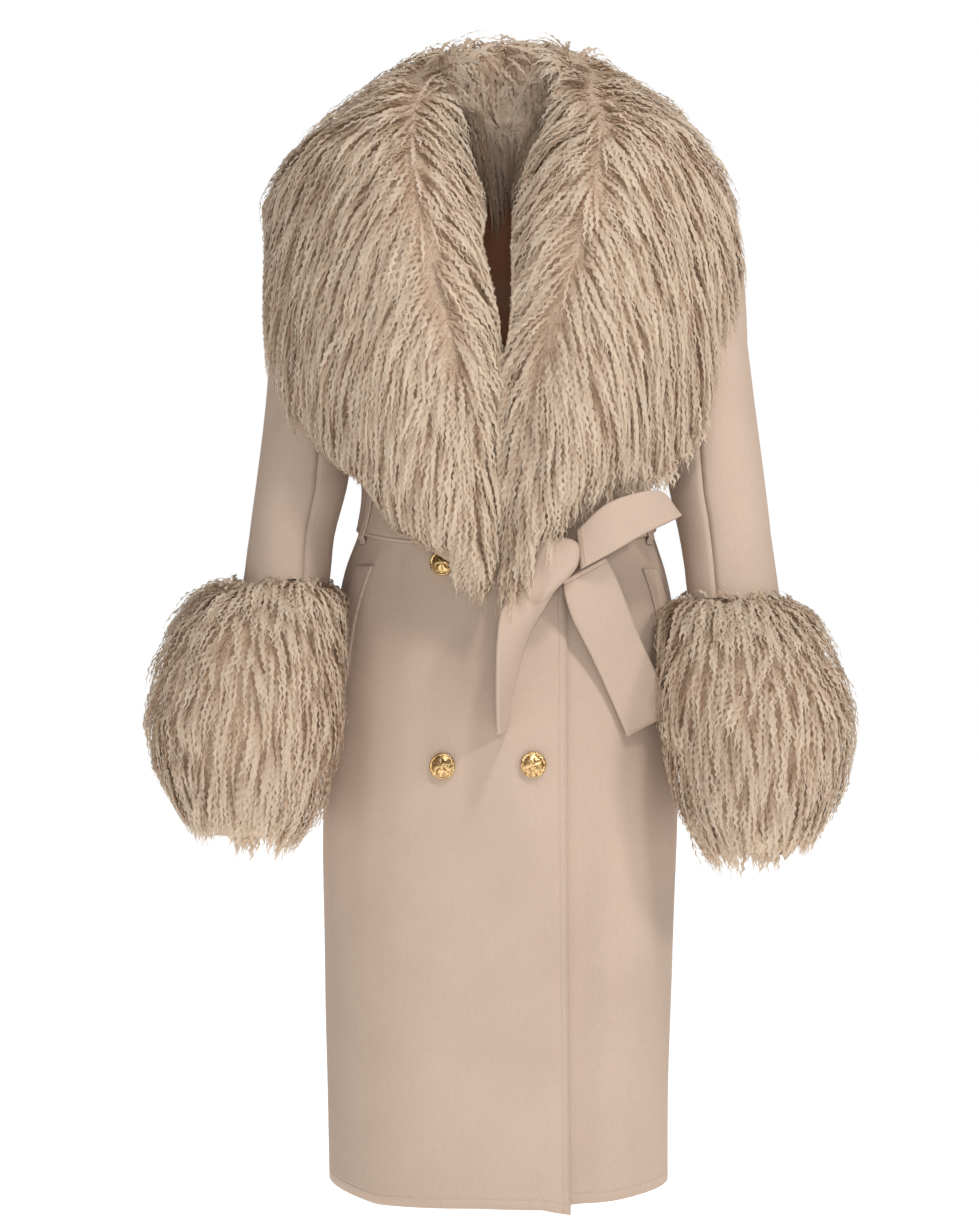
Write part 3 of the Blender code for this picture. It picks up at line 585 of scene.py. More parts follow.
def sleeve_panel(rings, side, under):
    def place(u, v):
        along = 2 * (1 - v)
        gap = np.radians(0.25 + 2.0 * (1 - smooth_step(along, 0.6, 1.2)))
        front = np.radians(FRONT_SEAM_TOP + (FRONT_SEAM_WRIST - FRONT_SEAM_TOP) * np.clip(along - 1, 0, 1))
        back = np.full(u.shape, np.radians(BACK_SEAM))
        start, stop = (back + gap, front + 2 * math.pi - gap) if under else (front + gap, back - gap)
        turn = start + (stop - start) * u
        point = sleeve_surface(rings, side, turn, along)
        c, s = superellipse(turn, SLEEVE_POWER)
        pulled = seam_groove(u, 30) + seam_groove(1 - u, 30)
        out = sleeve_creases(turn, point[..., 2]) * smooth_step(along, 0.7, 1.1) - pulled
        return point + out[..., None] * np.stack([side * c, s, 0 * c], -1)
    return place


for word, side, rings in (("right", -1, SLEEVE_RIGHT), ("left", 1, SLEEVE_LEFT)):
    def sleeve_axis(z, rings=rings):
        return tuple(read_table(rings, z / MM)[:2] * MM)

    for part, columns, flat in (("top", 34, (0.21, 0.60)), ("under", 16, (0.105, 0.43))):
        cloth_piece(f"sleeve_{word}_{part}", sleeve_panel(rings, side, part == "under"), (columns, 64),
                    wool_plain, WALL, WALL_INSIDE, axis=sleeve_axis,
                    flat=flat, held="hung", rests_on=["back"])


# Belt
# A double strip of the coat's wool, stitched near both edges. It passes round the waist, is tied at the
# left front and is held by carriers at the sides.

BELT_CLEAR, BELT_THICK = 1.0, 3.0
wool_belt = felted_wool("wool_belt_stitched", LIGHT, DARK, stitch_hem=4.0)


def belt_band(u, v):
    angle = 2 * math.pi * u
    z = belt_middle(angle) + BELT_HALF * (2 * v - 1)
    ripple = 0.5 * np.sin(9 * angle + 1.0) * (2 * v - 1) ** 2
    groove = 0.5 * bell(v - 0.92, 0.022) + 0.5 * bell(v - 0.08, 0.022)
    return body_point(angle, z, BELT_CLEAR + ripple - groove)


cloth_piece("belt", belt_band, (160, 22), wool_belt, BELT_THICK, WALL_OUTSIDE,
            flat=(0.05, 0.80), held="stretched", rests_on=["back", "front_right", "front_left"])


# Belt's tied ends
# The ends of the same strip beyond the knot. The long tail hangs towards the left cuff, the short one
# straight down, and a loop stands out to the left above them.

# Each row is a centre x, y, z, then half of the width as a vector x, y, z, then the curl of its edges
TAIL_LONG = np.array([
    (80, -129, -441, 20, 3, 11, 1),
    (85, -129, -455, 23, 4, 12, 2),
    (94, -122, -478, 24, 4, 12, 3),
    (111, -109, -516, 23, 6, 10, 1),
    (128, -101, -553, 23, 7, 10, 0),
    (144, -95, -591, 22, 8, 11, -1),
], float)
TAIL_SHORT = np.array([
    (38, -141, -453, 22, 3, 8, 1),
    (24, -144, -478, 21, 11, 3, 4),
    (14, -149, -508, 14, 20, 0, 4),
    (7, -151, -546, 9, 23, 0, 2),
    (3.5, -152, -572, 6, 24, 0, 1),
    (1, -152, -597, 3.5, 24.6, 0, 0),
], float)
BOW = np.array([
    (74.5, -140, -423, -2, 0, 18, 2),
    (104, -146, -402, -4, 0, 22, 1),
    (134, -138, -388, -1, 0, 20, 0),
    (157, -123, -381, -5, 0, 14, 0),
    (167, -112, -382, -6, 0, 8, 0),
    (157, -105, -384, -5, 0, 12, 0),
    (134, -112, -391, -1, 0, 18, 0),
    (104, -122, -402, -4, 0, 22, 1),
    (74.5, -127, -423, -2, 0, 18, 1),
], float)


def tie_band(rows):
    table = np.hstack([np.linspace(0, 1, len(rows))[:, None], rows])

    def place(u, v):
        found, after, before = (read_table(table, np.clip(v + change, 0, 1)) for change in (0, 0.01, -0.01))
        ahead = after[..., :3] - before[..., :3]
        half = found[..., 3:6]
        normal = np.cross(half, ahead)
        normal /= np.linalg.norm(normal, axis=-1, keepdims=True)
        across = 2 * u - 1
        groove = 0.45 * bell(np.abs(across) - 0.84, 0.05)
        curl = found[..., 6] * across**2 - groove
        return found[..., :3] + half * across[..., None] + normal * curl[..., None]
    return place


for node, rows, steps, flat in (
    ("belt_tail_long", TAIL_LONG, 44, (0.05, 0.16)),
    ("belt_tail_short", TAIL_SHORT, 44, (0.05, 0.13)),
    ("belt_bow", BOW, 60, (0.045, 0.21)),
):
    cloth_piece(node, tie_band(rows), (22, steps), wool_belt, BELT_THICK, WALL_BOTH, axis=None,
                flat=flat, held="hung", rests_on=["belt_knot"])


# Knot
# The belt crosses itself once. The outer turn wraps over the crossing, pressed into a few folds.

KNOT_CENTRE = (50.0, -134.5, -442.0)
KNOT_HALF = (25.0, 18.0, 32.0)
KNOT_LEAN = 8.0
KNOT_CUTS = 23
FOLD_DEPTH = 0.055
LOW_NARROWS, LOW_SHIFT = 0.52, 0.5      # how the lower end draws in, and towards the right


def knot_skin():
    shape = bmesh.new()
    bmesh.ops.create_cube(shape, size=2)
    bmesh.ops.subdivide_edges(shape, edges=shape.edges, cuts=KNOT_CUTS, use_grid_fill=True)
    lean = math.radians(KNOT_LEAN)
    for vert in shape.verts:
        p = np.array(vert.co)
        x, y, z = p / (np.abs(p) ** 4).sum() ** 0.25
        # folds run down and to the left across the front, deepest at the upper and lower ends
        phase = x * 2.3 + 0.9 * z + 0.5 * math.sin(2.2 * z)
        fold = FOLD_DEPTH * math.cos(phase * 2.2) * (0.55 + 0.45 * z * z) * (1 if y < 0.5 else 0.4)
        low = float(smooth_step(-z, -0.35, 1.1))
        x = (x * (1 - 0.1 * (1 - z * z) + 0.5 * fold)) * (1 - LOW_NARROWS * low) - LOW_SHIFT * low
        y = y * (1 + fold)
        x, z = x * KNOT_HALF[0], z * KNOT_HALF[2]
        vert.co = Vector((x * math.cos(lean) + z * math.sin(lean) + KNOT_CENTRE[0],
                          y * KNOT_HALF[1] + KNOT_CENTRE[1],
                          z * math.cos(lean) - x * math.sin(lean) + KNOT_CENTRE[2])) * MM
    mesh = bpy.data.meshes.new("cloth_belt_knot")
    shape.to_mesh(mesh)
    shape.free()
    mesh.uv_layers.new(name="cloth")
    mesh.shade_smooth()
    return mesh


knot = new_piece("cloth_belt_knot", knot_skin(), wool_plain)
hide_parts("belt_knot")


# Pocket welts and belt carriers
# Slanted welts of folded wool, edge-stitched, over the pocket mouths. Narrow carriers hold the belt at
# the sides.

# side, then for the upper and the lower end: height, inner y, outer y
WELTS = {"pocket_welt_right": (-1, (-437, -70, -49), (-552, -60, -37)),
         "pocket_welt_left": (1, (-440, -66, -46), (-555, -54, -31))}
WELT_THICK, WELT_CLEAR = 2.0, 0.9
CARRIER_WIDTH, CARRIER_THICK, CARRIER_CLEAR, CARRIER_Y = 9.0, 1.4, 0.7, -44.0

for node, (side, top, low) in WELTS.items():
    def welt(u, v, side=side, top=top, low=low):
        z = low[0] + (top[0] - low[0]) * v
        inner, outer = low[1] + (top[1] - low[1]) * v, low[2] + (top[2] - low[2]) * v
        edge = np.minimum(np.minimum(u, 1 - u) * 20, np.minimum(v, 1 - v) * 110)
        rounded = -0.9 * (1 - smooth_step(edge, 0, 2.2)) - 0.5 * bell(edge - 4, 0.9)
        angle = angle_at_y(inner + (outer - inner) * u, z, side)
        return body_point(angle, z, WELT_CLEAR + cloth_relief(angle, z) + rounded)

    cloth_piece(node, welt, (18, 60), wool_plain, WELT_THICK, WALL_OUTSIDE,
                flat=(0.021, 0.116), held="stretched", rests_on=["front_right" if side < 0 else "front_left"])

for word, side in (("right", -1), ("left", 1)):
    def carrier(u, v, side=side):
        tall = BELT_HALF + 8.0
        z = BELT_HEIGHT + BELT_TILT * CARRIER_Y + tall * (2 * v - 1)
        rise = BELT_CLEAR + BELT_THICK + 0.9
        beside = smooth_step(np.abs(2 * v - 1) * tall, BELT_HALF + 1, BELT_HALF + 6)
        out = CARRIER_CLEAR + (rise - CARRIER_CLEAR) * (1 - beside)
        return body_point(angle_at_y(CARRIER_Y + CARRIER_WIDTH * (u - 0.5), z, side), z, out)

    cloth_piece(f"belt_carrier_{word}", carrier, (6, 40), wool_plain, CARRIER_THICK, WALL_OUTSIDE,
                flat=(0.010, 0.068), held="stretched", rests_on=["belt"])


# Buttons
# Four domed buttons of gilt brass with a beaded rim, sewn on by a shank. Their relief is a plain ring
# and petals.

BUTTONS = {
    "button_upper_right": (-55, -435.0),
    "button_lower_right": (-55, -629.6),
    "button_upper_left": (31, -436.0),
    "button_lower_left": (31, -628.0),
}
# Turned profile from the middle of the top to the underside. radius, height
BUTTON_PROFILE = [(0, 7.6), (1.8, 7.5), (3.6, 7.2), (5.4, 6.6), (7.2, 5.8), (8.4, 5.0), (9.0, 4.5),
                  (9.6, 3.8), (10.3, 3.5), (10.8, 3.7), (11.5, 3.9), (12.2, 3.5), (12.5, 2.8), (12.4, 1.8),
                  (12.0, 0.7), (11.0, 0.1), (7.0, 0.0), (0, 0.0)]
BEADS, BEAD_RISE = 24, 0.35
PETALS, PETAL_RISE, PETAL_RADIUS = 6, 0.38, 9.0
gilt, tree, metal = new_finish("brass_gilt_worn")
wear = add_node(tree, "ShaderNodeTexNoise", {"Vector": here_on_object(tree), "Scale": 420.0, "Detail": 5.0})
rough = add_node(tree, "ShaderNodeMapRange", {"Value": wear.outputs[0], "To Min": 0.38, "To Max": 0.22})
dent = add_node(tree, "ShaderNodeBump", {"Height": wear.outputs[0], "Distance": 0.0006, "Strength": 0.5})
set_inputs(tree, metal, {"Base Color": tones(tree, wear.outputs[0], (0.35, "#8f6d43"), (0.62, "#e2bf8a")),
                         "Roughness": rough.outputs[0], "Normal": dent.outputs[0], "Metallic": 1.0})

for name, (x, z) in BUTTONS.items():
    angle = angle_at_x(np.float64(x), np.float64(z))
    seat = body_point(angle, z, 0.9)
    turn = Vector(body_point(angle, z, 2.0) - seat).to_track_quat("Z", "Y").to_matrix()
    steps = 48
    rings = []
    for radius, high in BUTTON_PROFILE[1:-1]:
        ring = []
        for k in range(steps):
            around = 2 * math.pi * k / steps
            bead = BEAD_RISE * math.cos(around * BEADS) if 10.5 < radius < 12.3 and high > 3 else 0.0
            swell = math.sin(math.pi * min(radius / PETAL_RADIUS, 1.0)) if high > 4.4 else 0.0
            top = high + bead + PETAL_RISE * math.cos(around * PETALS) * swell
            ring.append(turn @ Vector((radius * math.cos(around), radius * math.sin(around), top)))
        rings.append(ring)
    points = [turn @ Vector((0, 0, BUTTON_PROFILE[0][1]))] + sum(rings, []) + [turn @ Vector((0, 0, 0))]
    last = len(points) - 1
    faces = [(0, 1 + k, 1 + (k + 1) % steps) for k in range(steps)]
    for r in range(len(rings) - 1):
        a, b = 1 + r * steps, 1 + (r + 1) * steps
        faces += [(a + k, b + k, b + (k + 1) % steps, a + (k + 1) % steps) for k in range(steps)]
    a = 1 + (len(rings) - 1) * steps
    faces += [(a + (k + 1) % steps, a + k, last) for k in range(steps)]
    mesh = bpy.data.meshes.new(f"metal_{name}")
    mesh.from_pydata([(p + Vector(seat)) * MM for p in points], [], faces)
    mesh.shade_smooth()
    button = new_piece(f"metal_{name}", mesh, gilt)
    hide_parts(name)


# Fur collar
# Long-haired curly lamb: a pelt with its hair in thin crimped locks. The hair parts along the collar's
# roll line, from the back of the neck to the tip, and falls outward over the chest, shoulders and back,
# and inward to the neckline. Each lock is a tapered ribbon that rises from the pelt and lies over the next.

# Roll lines from the tip up to the centre back. x, y, z
ROLL_RIGHT = np.array([
    (-12, -165, -440), (-20, -168, -357), (-29, -170, -281), (-57, -172, -187), (-81, -150, -83),
    (-85, -95, 0), (-78, -46, 38), (-85, 25, 68), (-50, 80, 85), (5.6, 100, 88),
], float)
ROLL_LEFT = np.array([
    (5, -165, -440), (9, -165, -376), (18, -170, -300), (42, -172, -225), (70, -168, -149),
    (90, -145, -73), (100, -90, 0), (92, -46, 38), (97, 25, 68), (62, 80, 85), (5.6, 100, 88),
], float)
CLOTH_NODES = ["front_right", "front_left", "back", "sleeve_right_top", "sleeve_right_under",
               "sleeve_left_top", "sleeve_left_under", "belt"]
CRIMP = 8.0             # one wave of a lock
CRIMP_SIDE = 1.0        # how far it swings to the side
CRIMP_OUT = 0.6         # and away from the pelt
LOCK_STEPS = 24
LOCK_ROOT = 7.0         # how far under the pelt's outline it starts
PATH_STEPS = 12
ROOT_TRIES = 8          # spots tried for each lock
DOWN_FACING = -0.55     # no hair grows where the pelt faces down more than this
CLOTH_ROOM, FUR_ROOM = 16.0, 70.0           # how far off cloth and other fur must be in front of a root
TANGLE, FINE_TANGLE = 0.32, 0.16            # how far locks stray from the flow, in broad and small tufts
SAG_ON_PELT, SAG_IN_AIR = 0.06, 0.22        # how far each step bends a lock down
NECK_X, NECK_Y = 5.6, 12.0
NECKLINE_X, NECKLINE_Y = 66.0, 52.0         # half sizes of the opening that the hair keeps within


def node_mesh(*names):
    """Points in millimetres and triangles of CAD nodes."""
    points, faces = [], []
    for name in names:
        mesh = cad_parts[name].data
        start = len(points)
        points += [tuple(v.co / MM) for v in mesh.vertices]
        mesh.calc_loop_triangles()
        faces += [tuple(start + i for i in t.vertices) for t in mesh.loop_triangles]
    return np.array(points), np.array(faces)


def tree_of(points, faces):
    return BVHTree.FromPolygons([tuple(p) for p in points], [tuple(f) for f in faces.tolist()])


def unit(vectors):
    return vectors / np.maximum(np.linalg.norm(vectors, axis=-1, keepdims=True), 1e-9)


def drift(points, size, seed):
    """A smooth random vector for each point, with features of about that size."""
    rng = np.random.default_rng(seed)
    waves = rng.normal(size=(7, 3)) * (2.2 / size)
    phases = rng.uniform(0, 2 * math.pi, (3, 7))
    return np.stack([np.sin(points @ waves.T + p).sum(-1) for p in phases], -1) / 3.2


def nearest_on_line(points, line):
    """The nearest point of a polyline and the polyline's direction there."""
    best = np.full(len(points), np.inf)
    spot, ahead = np.zeros_like(points), np.zeros_like(points)
    for i in range(len(line) - 1):
        a, step = line[i], line[i + 1] - line[i]
        t = np.clip(((points - a) @ step) / (step @ step), 0, 1)
        q = a + t[:, None] * step
        gap = np.linalg.norm(points - q, axis=1)
        closer = gap < best
        best[closer], spot[closer], ahead[closer] = gap[closer], q[closer], unit(step)
    return spot, ahead


def collar_flow(line):
    """A flow gives, for points of a pelt, how the hair lies there and its length, density and reach past
    the rim, as shares of what is usual."""
    def flow(points, normals):
        spot, ahead = nearest_on_line(points, line)
        away = points - spot
        reach = np.linalg.norm(away, axis=1)[:, None]
        away = unit(away - (away * normals).sum(1, keepdims=True) * normals)
        down = np.array([0, 0, -1.0])
        front = smooth_step(-points[:, 1], 20, 110)[:, None]
        low = smooth_step(-points[:, 2], 170, 330)[:, None] * front
        spread = (0.95 - 0.25 * front) * (1 - 0.72 * low * bell(reach, 90))
        drop = 0.3 + 0.5 * np.minimum(reach / 150, 1) + 0.7 * low
        lie = away * spread - ahead * 0.5 * front + down * drop
        near = bell(reach[:, 0], 22)
        neck = np.array([NECK_X, NECK_Y])
        inward = smooth_step(((neck - points[:, :2]) * normals[:, :2]).sum(1), 15, 45)
        inward = inward * smooth_step(points[:, 2], -30, 10)
        tie = smooth_step(-points[:, 2], 350, 400) * smooth_step(points[:, 0], -5, 25)
        long = 1.0 - 0.35 * near + 0.35 * inward + 0.25 * tie
        return lie, long, 1.0 + 1.6 * near + 1.2 * inward, 1.0 + 1.7 * inward + 1.2 * tie
    return flow


def hair_roots(node, count, flow, rng):
    """Up to count spots on a CAD node with nothing close in front of them, their normals, and the node's
    surface."""
    points, faces = node_mesh(node)
    skin, cloth = tree_of(points, faces), tree_of(*node_mesh(*CLOTH_NODES))
    corners = points[faces]
    cross = np.cross(corners[:, 1] - corners[:, 0], corners[:, 2] - corners[:, 0])
    area = np.linalg.norm(cross, axis=1) / 2
    pick = rng.choice(len(faces), size=count * ROOT_TRIES, p=area / area.sum())
    weight = rng.dirichlet((1, 1, 1), len(pick))
    root = (corners[pick] * weight[:, :, None]).sum(1)
    normal = unit(cross)[pick]
    crowd = flow(root, normal)[2]
    dense = rng.uniform(0, crowd.max(), len(root)) < crowd
    root, normal = root[dense], normal[dense]
    keep = []
    for i, (p, n) in enumerate(zip(root, normal)):
        if n[2] < DOWN_FACING:
            continue
        at, ray = Vector(p + n * 0.4), Vector(n)
        if cloth.ray_cast(at, ray, CLOTH_ROOM)[0] is None and skin.ray_cast(at, ray, FUR_ROOM)[0] is None:
            keep.append(i)
        if len(keep) == count:
            break
    return root[keep], normal[keep], skin


def lock_path(skin, root, lie, normal, step, tip, budget):
    """A lock's points and the way out at each. It follows the skin as far as the rim and then hangs free,
    and hardly grows once the budget is used up."""
    path, out = [root - normal * LOCK_ROOT], [normal]
    base, ahead, up = root, lie, normal
    free = False
    for k in range(1, PATH_STEPS + 1):
        if not free:
            hit, face, _, gap = skin.find_nearest(Vector(base + ahead * step))
            hit, face = np.array(hit), np.array(face)
            free = gap > 0.75 * step or face @ normal < -0.15 or face[2] < -0.75
        if free:
            budget -= step
            ahead = ahead + np.array([0, 0, -SAG_IN_AIR])
            ahead = ahead / np.linalg.norm(ahead)
            point = path[-1] + ahead * (step if budget > 0 else step * 0.04)
        else:
            base = hit
            up = up * 0.6 + face * 0.4
            up = up / np.linalg.norm(up)
            ahead = ahead + np.array([0, 0, -SAG_ON_PELT])
            ahead = ahead - (ahead @ up) * up
            ahead = ahead / np.linalg.norm(ahead)
            lift = math.sin(0.5 * math.pi * min(1.0, k / PATH_STEPS * 1.35))
            point = base + up * ((LOCK_ROOT + tip) * lift - LOCK_ROOT)
        path.append(point)
        out.append(up)
    return path, out


def comb(node, count, flow, seed, length, over, rise):
    """Paths of locks over a CAD node, and which way is out along them. over is how far a lock may pass the
    rim, and rise how high its tip stands."""
    rng = np.random.default_rng(seed)
    root, normal, skin = hair_roots(node, count, flow, rng)
    lie, long, _, past = flow(root, normal)
    lie = lie + TANGLE * drift(root, 34, seed + 1) + FINE_TANGLE * drift(root, 11, seed + 2)
    lie = unit(lie - (lie * normal).sum(1, keepdims=True) * normal)
    full = length * long * rng.uniform(0.7, 1.25, len(root))
    tuft = drift(root, 16, seed + 3)[:, 0]
    paths, outs = [], []
    for i in range(len(root)):
        tip = rise * (0.7 + 0.9 * tuft[i]) + rng.normal(0, 1.6)
        budget = over * past[i] * rng.uniform(0.25, 1.0)
        path, out = lock_path(skin, root[i], lie[i], normal[i], full[i] / PATH_STEPS, tip, budget)
        paths.append(path)
        outs.append(out)
    return np.array(paths), np.array(outs), rng


def smooth_path(path, steps):
    """Catmull-Rom points along each row of path."""
    count, knots = path.shape[:2]
    at = np.linspace(0, knots - 1, steps + 1)
    i = np.minimum(at.astype(int), knots - 2)
    t = (at - i)[None, :, None]
    before, here = path[:, np.maximum(i - 1, 0)], path[:, i]
    after, last = path[:, i + 1], path[:, np.minimum(i + 2, knots - 1)]
    return 0.5 * (2 * here + (after - before) * t + (2 * before - 5 * here + 4 * after - last) * t**2
                  + (3 * here - before - 3 * after + last) * t**3)


def even_out(path, steps):
    """The same lines with evenly spaced points."""
    leg = np.linalg.norm(np.diff(path, axis=1), axis=2)
    along = np.hstack([np.zeros((len(path), 1)), np.cumsum(leg, axis=1)])
    total = along[:, -1]
    result = np.zeros((len(path), steps + 1, 3))
    for i in range(len(path)):
        at = np.linspace(0, total[i], steps + 1)
        for axis in range(3):
            result[i, :, axis] = np.interp(at, along[i], path[i, :, axis])
    return result, total


def lock_mesh(name, path, out, rng, width):
    """Crimped, tapered ribbons along the paths, with a colour attribute: a tint for each lock, the share
    along it, a second random value, and in alpha how far it lies out of the neckline, low for painted shade."""
    line, total = even_out(smooth_path(path, LOCK_STEPS), LOCK_STEPS)
    up = unit(smooth_path(out, LOCK_STEPS))
    count = len(line)
    ahead = unit(np.gradient(line, axis=1))
    side = unit(np.cross(ahead, up))
    up = np.cross(side, ahead)
    share = np.linspace(0, 1, LOCK_STEPS + 1)[None, :]
    wave = CRIMP * rng.uniform(0.8, 1.3, (count, 1))
    phase = rng.uniform(0, 2 * math.pi, (count, 1)) + share * total[:, None] / wave * 2 * math.pi
    swing = smooth_step(share, 0.05, 0.3) * rng.uniform(0.6, 1.3, (count, 1))
    line = line + side * (CRIMP_SIDE * swing * np.sin(phase))[..., None]
    line = line + up * (CRIMP_OUT * swing * np.cos(phase))[..., None]
    roll = rng.normal(0, 0.22, (count, 1)) + 0.25 * np.cos(phase)
    flat = side * np.cos(roll)[..., None] + up * np.sin(roll)[..., None]
    taper = (0.35 + 0.65 * smooth_step(share, 0, 0.25)) * (1 - 0.92 * smooth_step(share, 0.55, 1.0))
    half = 0.5 * width * rng.uniform(0.65, 1.3, (count, 1)) * taper * (1 + 0.12 * np.sin(2 * phase))
    left, right = line - flat * half[..., None], line + flat * half[..., None]
    points = np.stack([left, right], 2).reshape(-1, 3) * MM
    start = (np.arange(count)[:, None] * 2 * (LOCK_STEPS + 1) + 2 * np.arange(LOCK_STEPS)[None, :]).ravel()
    faces = np.stack([start, start + 1, start + 3, start + 2], -1)
    mesh = bpy.data.meshes.new(name)
    mesh.vertices.add(len(points))
    mesh.vertices.foreach_set("co", points.ravel().astype(np.float32))
    mesh.loops.add(faces.size)
    mesh.loops.foreach_set("vertex_index", faces.ravel().astype(np.int32))
    mesh.polygons.add(len(faces))
    mesh.polygons.foreach_set("loop_start", np.arange(0, faces.size, 4, dtype=np.int32))
    mesh.update(calc_edges=True)
    tint = np.repeat(rng.uniform(0, 1, count), 2 * (LOCK_STEPS + 1))
    other = np.repeat(rng.uniform(0, 1, count), 2 * (LOCK_STEPS + 1))
    along = np.tile(np.repeat(share[0], 2), count)
    # Painted shade: locks inside the neckline get a low alpha, and the finish darkens them there.
    inside = 1 - smooth_step(np.hypot((line[..., 0] - NECK_X) / 80, line[..., 1] / 66), 0.85, 1.5)
    inside = inside * smooth_step(-line[..., 2], -80, 60)
    unshaded_share = np.repeat(1 - inside.ravel(), 2)
    colour = np.stack([tint, along, other, unshaded_share], -1)
    layer = mesh.color_attributes.new("lock", "FLOAT_COLOR", "POINT")
    layer.data.foreach_set("color", colour.ravel().astype(np.float32))
    spots = np.stack([np.tile([0.0, 1.0], count * (LOCK_STEPS + 1)),
                      np.repeat((share * total[:, None]).ravel(), 2) * MM], -1)
    uv = mesh.uv_layers.new(name="lock")
    uv.data.foreach_set("uv", spots[faces.ravel()].ravel().astype(np.float32))
    mesh.shade_smooth()
    return mesh


def curly_hair(name, root, middle, tip):
    """Crimped lamb's wool, satin, in fine parallel hairs, darker towards the pelt and lighter at the tips as
    painted shade deep in the fur.
    """
    finish, tree, skin = new_finish(name)
    lock = add_node(tree, "ShaderNodeVertexColor", layer_name="lock")
    part = add_node(tree, "ShaderNodeSeparateColor", {0: lock.outputs[0]})
    spots = add_node(tree, "ShaderNodeSeparateXYZ",
                     {0: add_node(tree, "ShaderNodeUVMap", uv_map="lock").outputs[0]})
    scaled = ((spots.outputs[0], 5.5), (spots.outputs[1], 90.0), (part.outputs[2], 60.0))
    hair = add_node(tree, "ShaderNodeCombineXYZ",
                    {i: maths(tree, "MULTIPLY", *pair) for i, pair in enumerate(scaled)})
    streak = add_node(tree, "ShaderNodeTexNoise", {"Vector": hair.outputs[0], "Scale": 1.0, "Detail": 2.0})
    # Painted shade: the share along each lock runs the ramp from dark at the pelt to light at the tips.
    shade = maths(tree, "MULTIPLY_ADD", part.outputs[0], 0.26, part.outputs[1])
    shade = maths(tree, "MULTIPLY_ADD", streak.outputs[0], 0.5, shade)
    colour = tones(tree, shade, (0.22, root), (0.62, middle), (1.0, tip))
    # Painted shade: hair with a low alpha, inside the neckline, is mixed towards dark brown.
    deep = add_node(tree, "ShaderNodeMapRange", {"Value": lock.outputs[1], "To Min": 0.68, "To Max": 0.0})
    base = add_node(tree, "ShaderNodeMixRGB", {0: deep.outputs[0], 1: colour, 2: srgb("#74502f")})
    dome = maths(tree, "SINE", maths(tree, "MULTIPLY", spots.outputs[0], math.pi))
    dome = maths(tree, "MULTIPLY_ADD", streak.outputs[0], 0.9, dome)
    bump = add_node(tree, "ShaderNodeBump", {"Height": dome, "Distance": 0.0008, "Strength": 0.4})
    set_inputs(tree, skin, {"Base Color": base.outputs[0], "Normal": bump.outputs[0],
                            "Roughness": 0.55, "Specular IOR Level": 0.35})
    glow = add_node(tree, "ShaderNodeBsdfTranslucent",
                    {"Color": base.outputs[0], "Normal": bump.outputs[0]})
    both = add_node(tree, "ShaderNodeMixShader", {0: 0.45, 1: skin.outputs[0], 2: glow.outputs[0]})
    tree.links.new(both.outputs[0], tree.nodes["Material Output"].inputs["Surface"])
    return finish


# The root colour is darker than the tip colour, as painted shade deep in the fur.
hair_finish = curly_hair("lamb_hair_crimped", "#bea58d", "#d4bca4", "#e3d2bd")
pelt, tree, skin = new_finish("lamb_pelt_matted")
mat = add_node(tree, "ShaderNodeTexNoise", {"Vector": here_on_object(tree), "Scale": 240.0, "Detail": 5.0,
                                            "Distortion": 1.5})
dent = add_node(tree, "ShaderNodeBump", {"Height": mat.outputs[0], "Distance": 0.004, "Strength": 0.9})
set_inputs(tree, skin, {"Base Color": tones(tree, mat.outputs[0], (0.35, "#b39a84"), (0.7, "#cfb69e")),
                        "Normal": dent.outputs[0], "Roughness": 1.0})


def pelt_piece(node, sink, settle):
    """The pelt with its matted underwool: the CAD solid, drawn in by sink under the hair."""
    points, faces = node_mesh(node)
    shape = bmesh.new()
    verts = [shape.verts.new(p) for p in points]
    for face in faces:
        shape.faces.new([verts[i] for i in face])
    bmesh.ops.remove_doubles(shape, verts=shape.verts, dist=0.02)
    bmesh.ops.recalc_face_normals(shape, faces=shape.faces)
    shape.normal_update()
    solid = BVHTree.FromBMesh(shape)
    moves = []
    for vert in shape.verts:
        back = solid.ray_cast(vert.co - vert.normal * 0.3, -vert.normal, 200)[3]
        moves.append(min(sink, 0.3 * (back or 0.0)))
    for vert, move in zip(shape.verts, moves):
        seam = abs(vert.co.x - NECK_X) < 2.0 and vert.co.y > 0
        moved = vert.co - vert.normal * move
        vert.co = Vector((vert.co.x, moved.y, moved.z)) if seam else moved
    for vert in shape.verts:
        vert.co = Vector(settle(np.array([vert.co]))[0]) * MM
    mesh = bpy.data.meshes.new(f"pelt_{node}")
    shape.to_mesh(mesh)
    shape.free()
    mesh.shade_smooth()
    piece = new_piece(f"pelt_{node}", mesh, pelt)
    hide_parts(node)


def fur_piece(name, node, flow, settle, seed, count, length, over, width, rise):
    """Hair combed over a CAD node."""
    count = int(count * (1.0))
    path, out, rng = comb(node, count, flow, seed, length, over, rise)
    piece = new_piece(name, lock_mesh(name, settle(path, out), out, rng, width), hair_finish)


# The V between the two halves. height, middle x, half width
V_OPENING = np.array([
    (-92, -0.5, 12), (-128, -4, 15), (-168, 1, 11), (-197, 4, 7.6), (-226, 4, 4), (-240, 4, 0),
], float)

# Where the hair of the right half ends, from above the elbow to the upper button. x, height
LOWER_EDGE = np.array([
    (-196, -288), (-177, -322), (-158, -338), (-131, -356), (-120, -374), (-104, -402), (-69, -417),
    (-47, -421),
], float)


def held_in(x, z, limit, share):
    """Draws points that stand out beyond the limit back towards the wearer's right shoulder."""
    return x + share * smooth_step(-z, 60, 110) * (1 - smooth_step(-z, 230, 290)) * np.maximum(0, limit - x)


def settle_pelt(points):
    x, y, z = points[..., 0], points[..., 1], points[..., 2]
    return np.stack([held_in(x, z, -231, 0.9), y, z], -1)


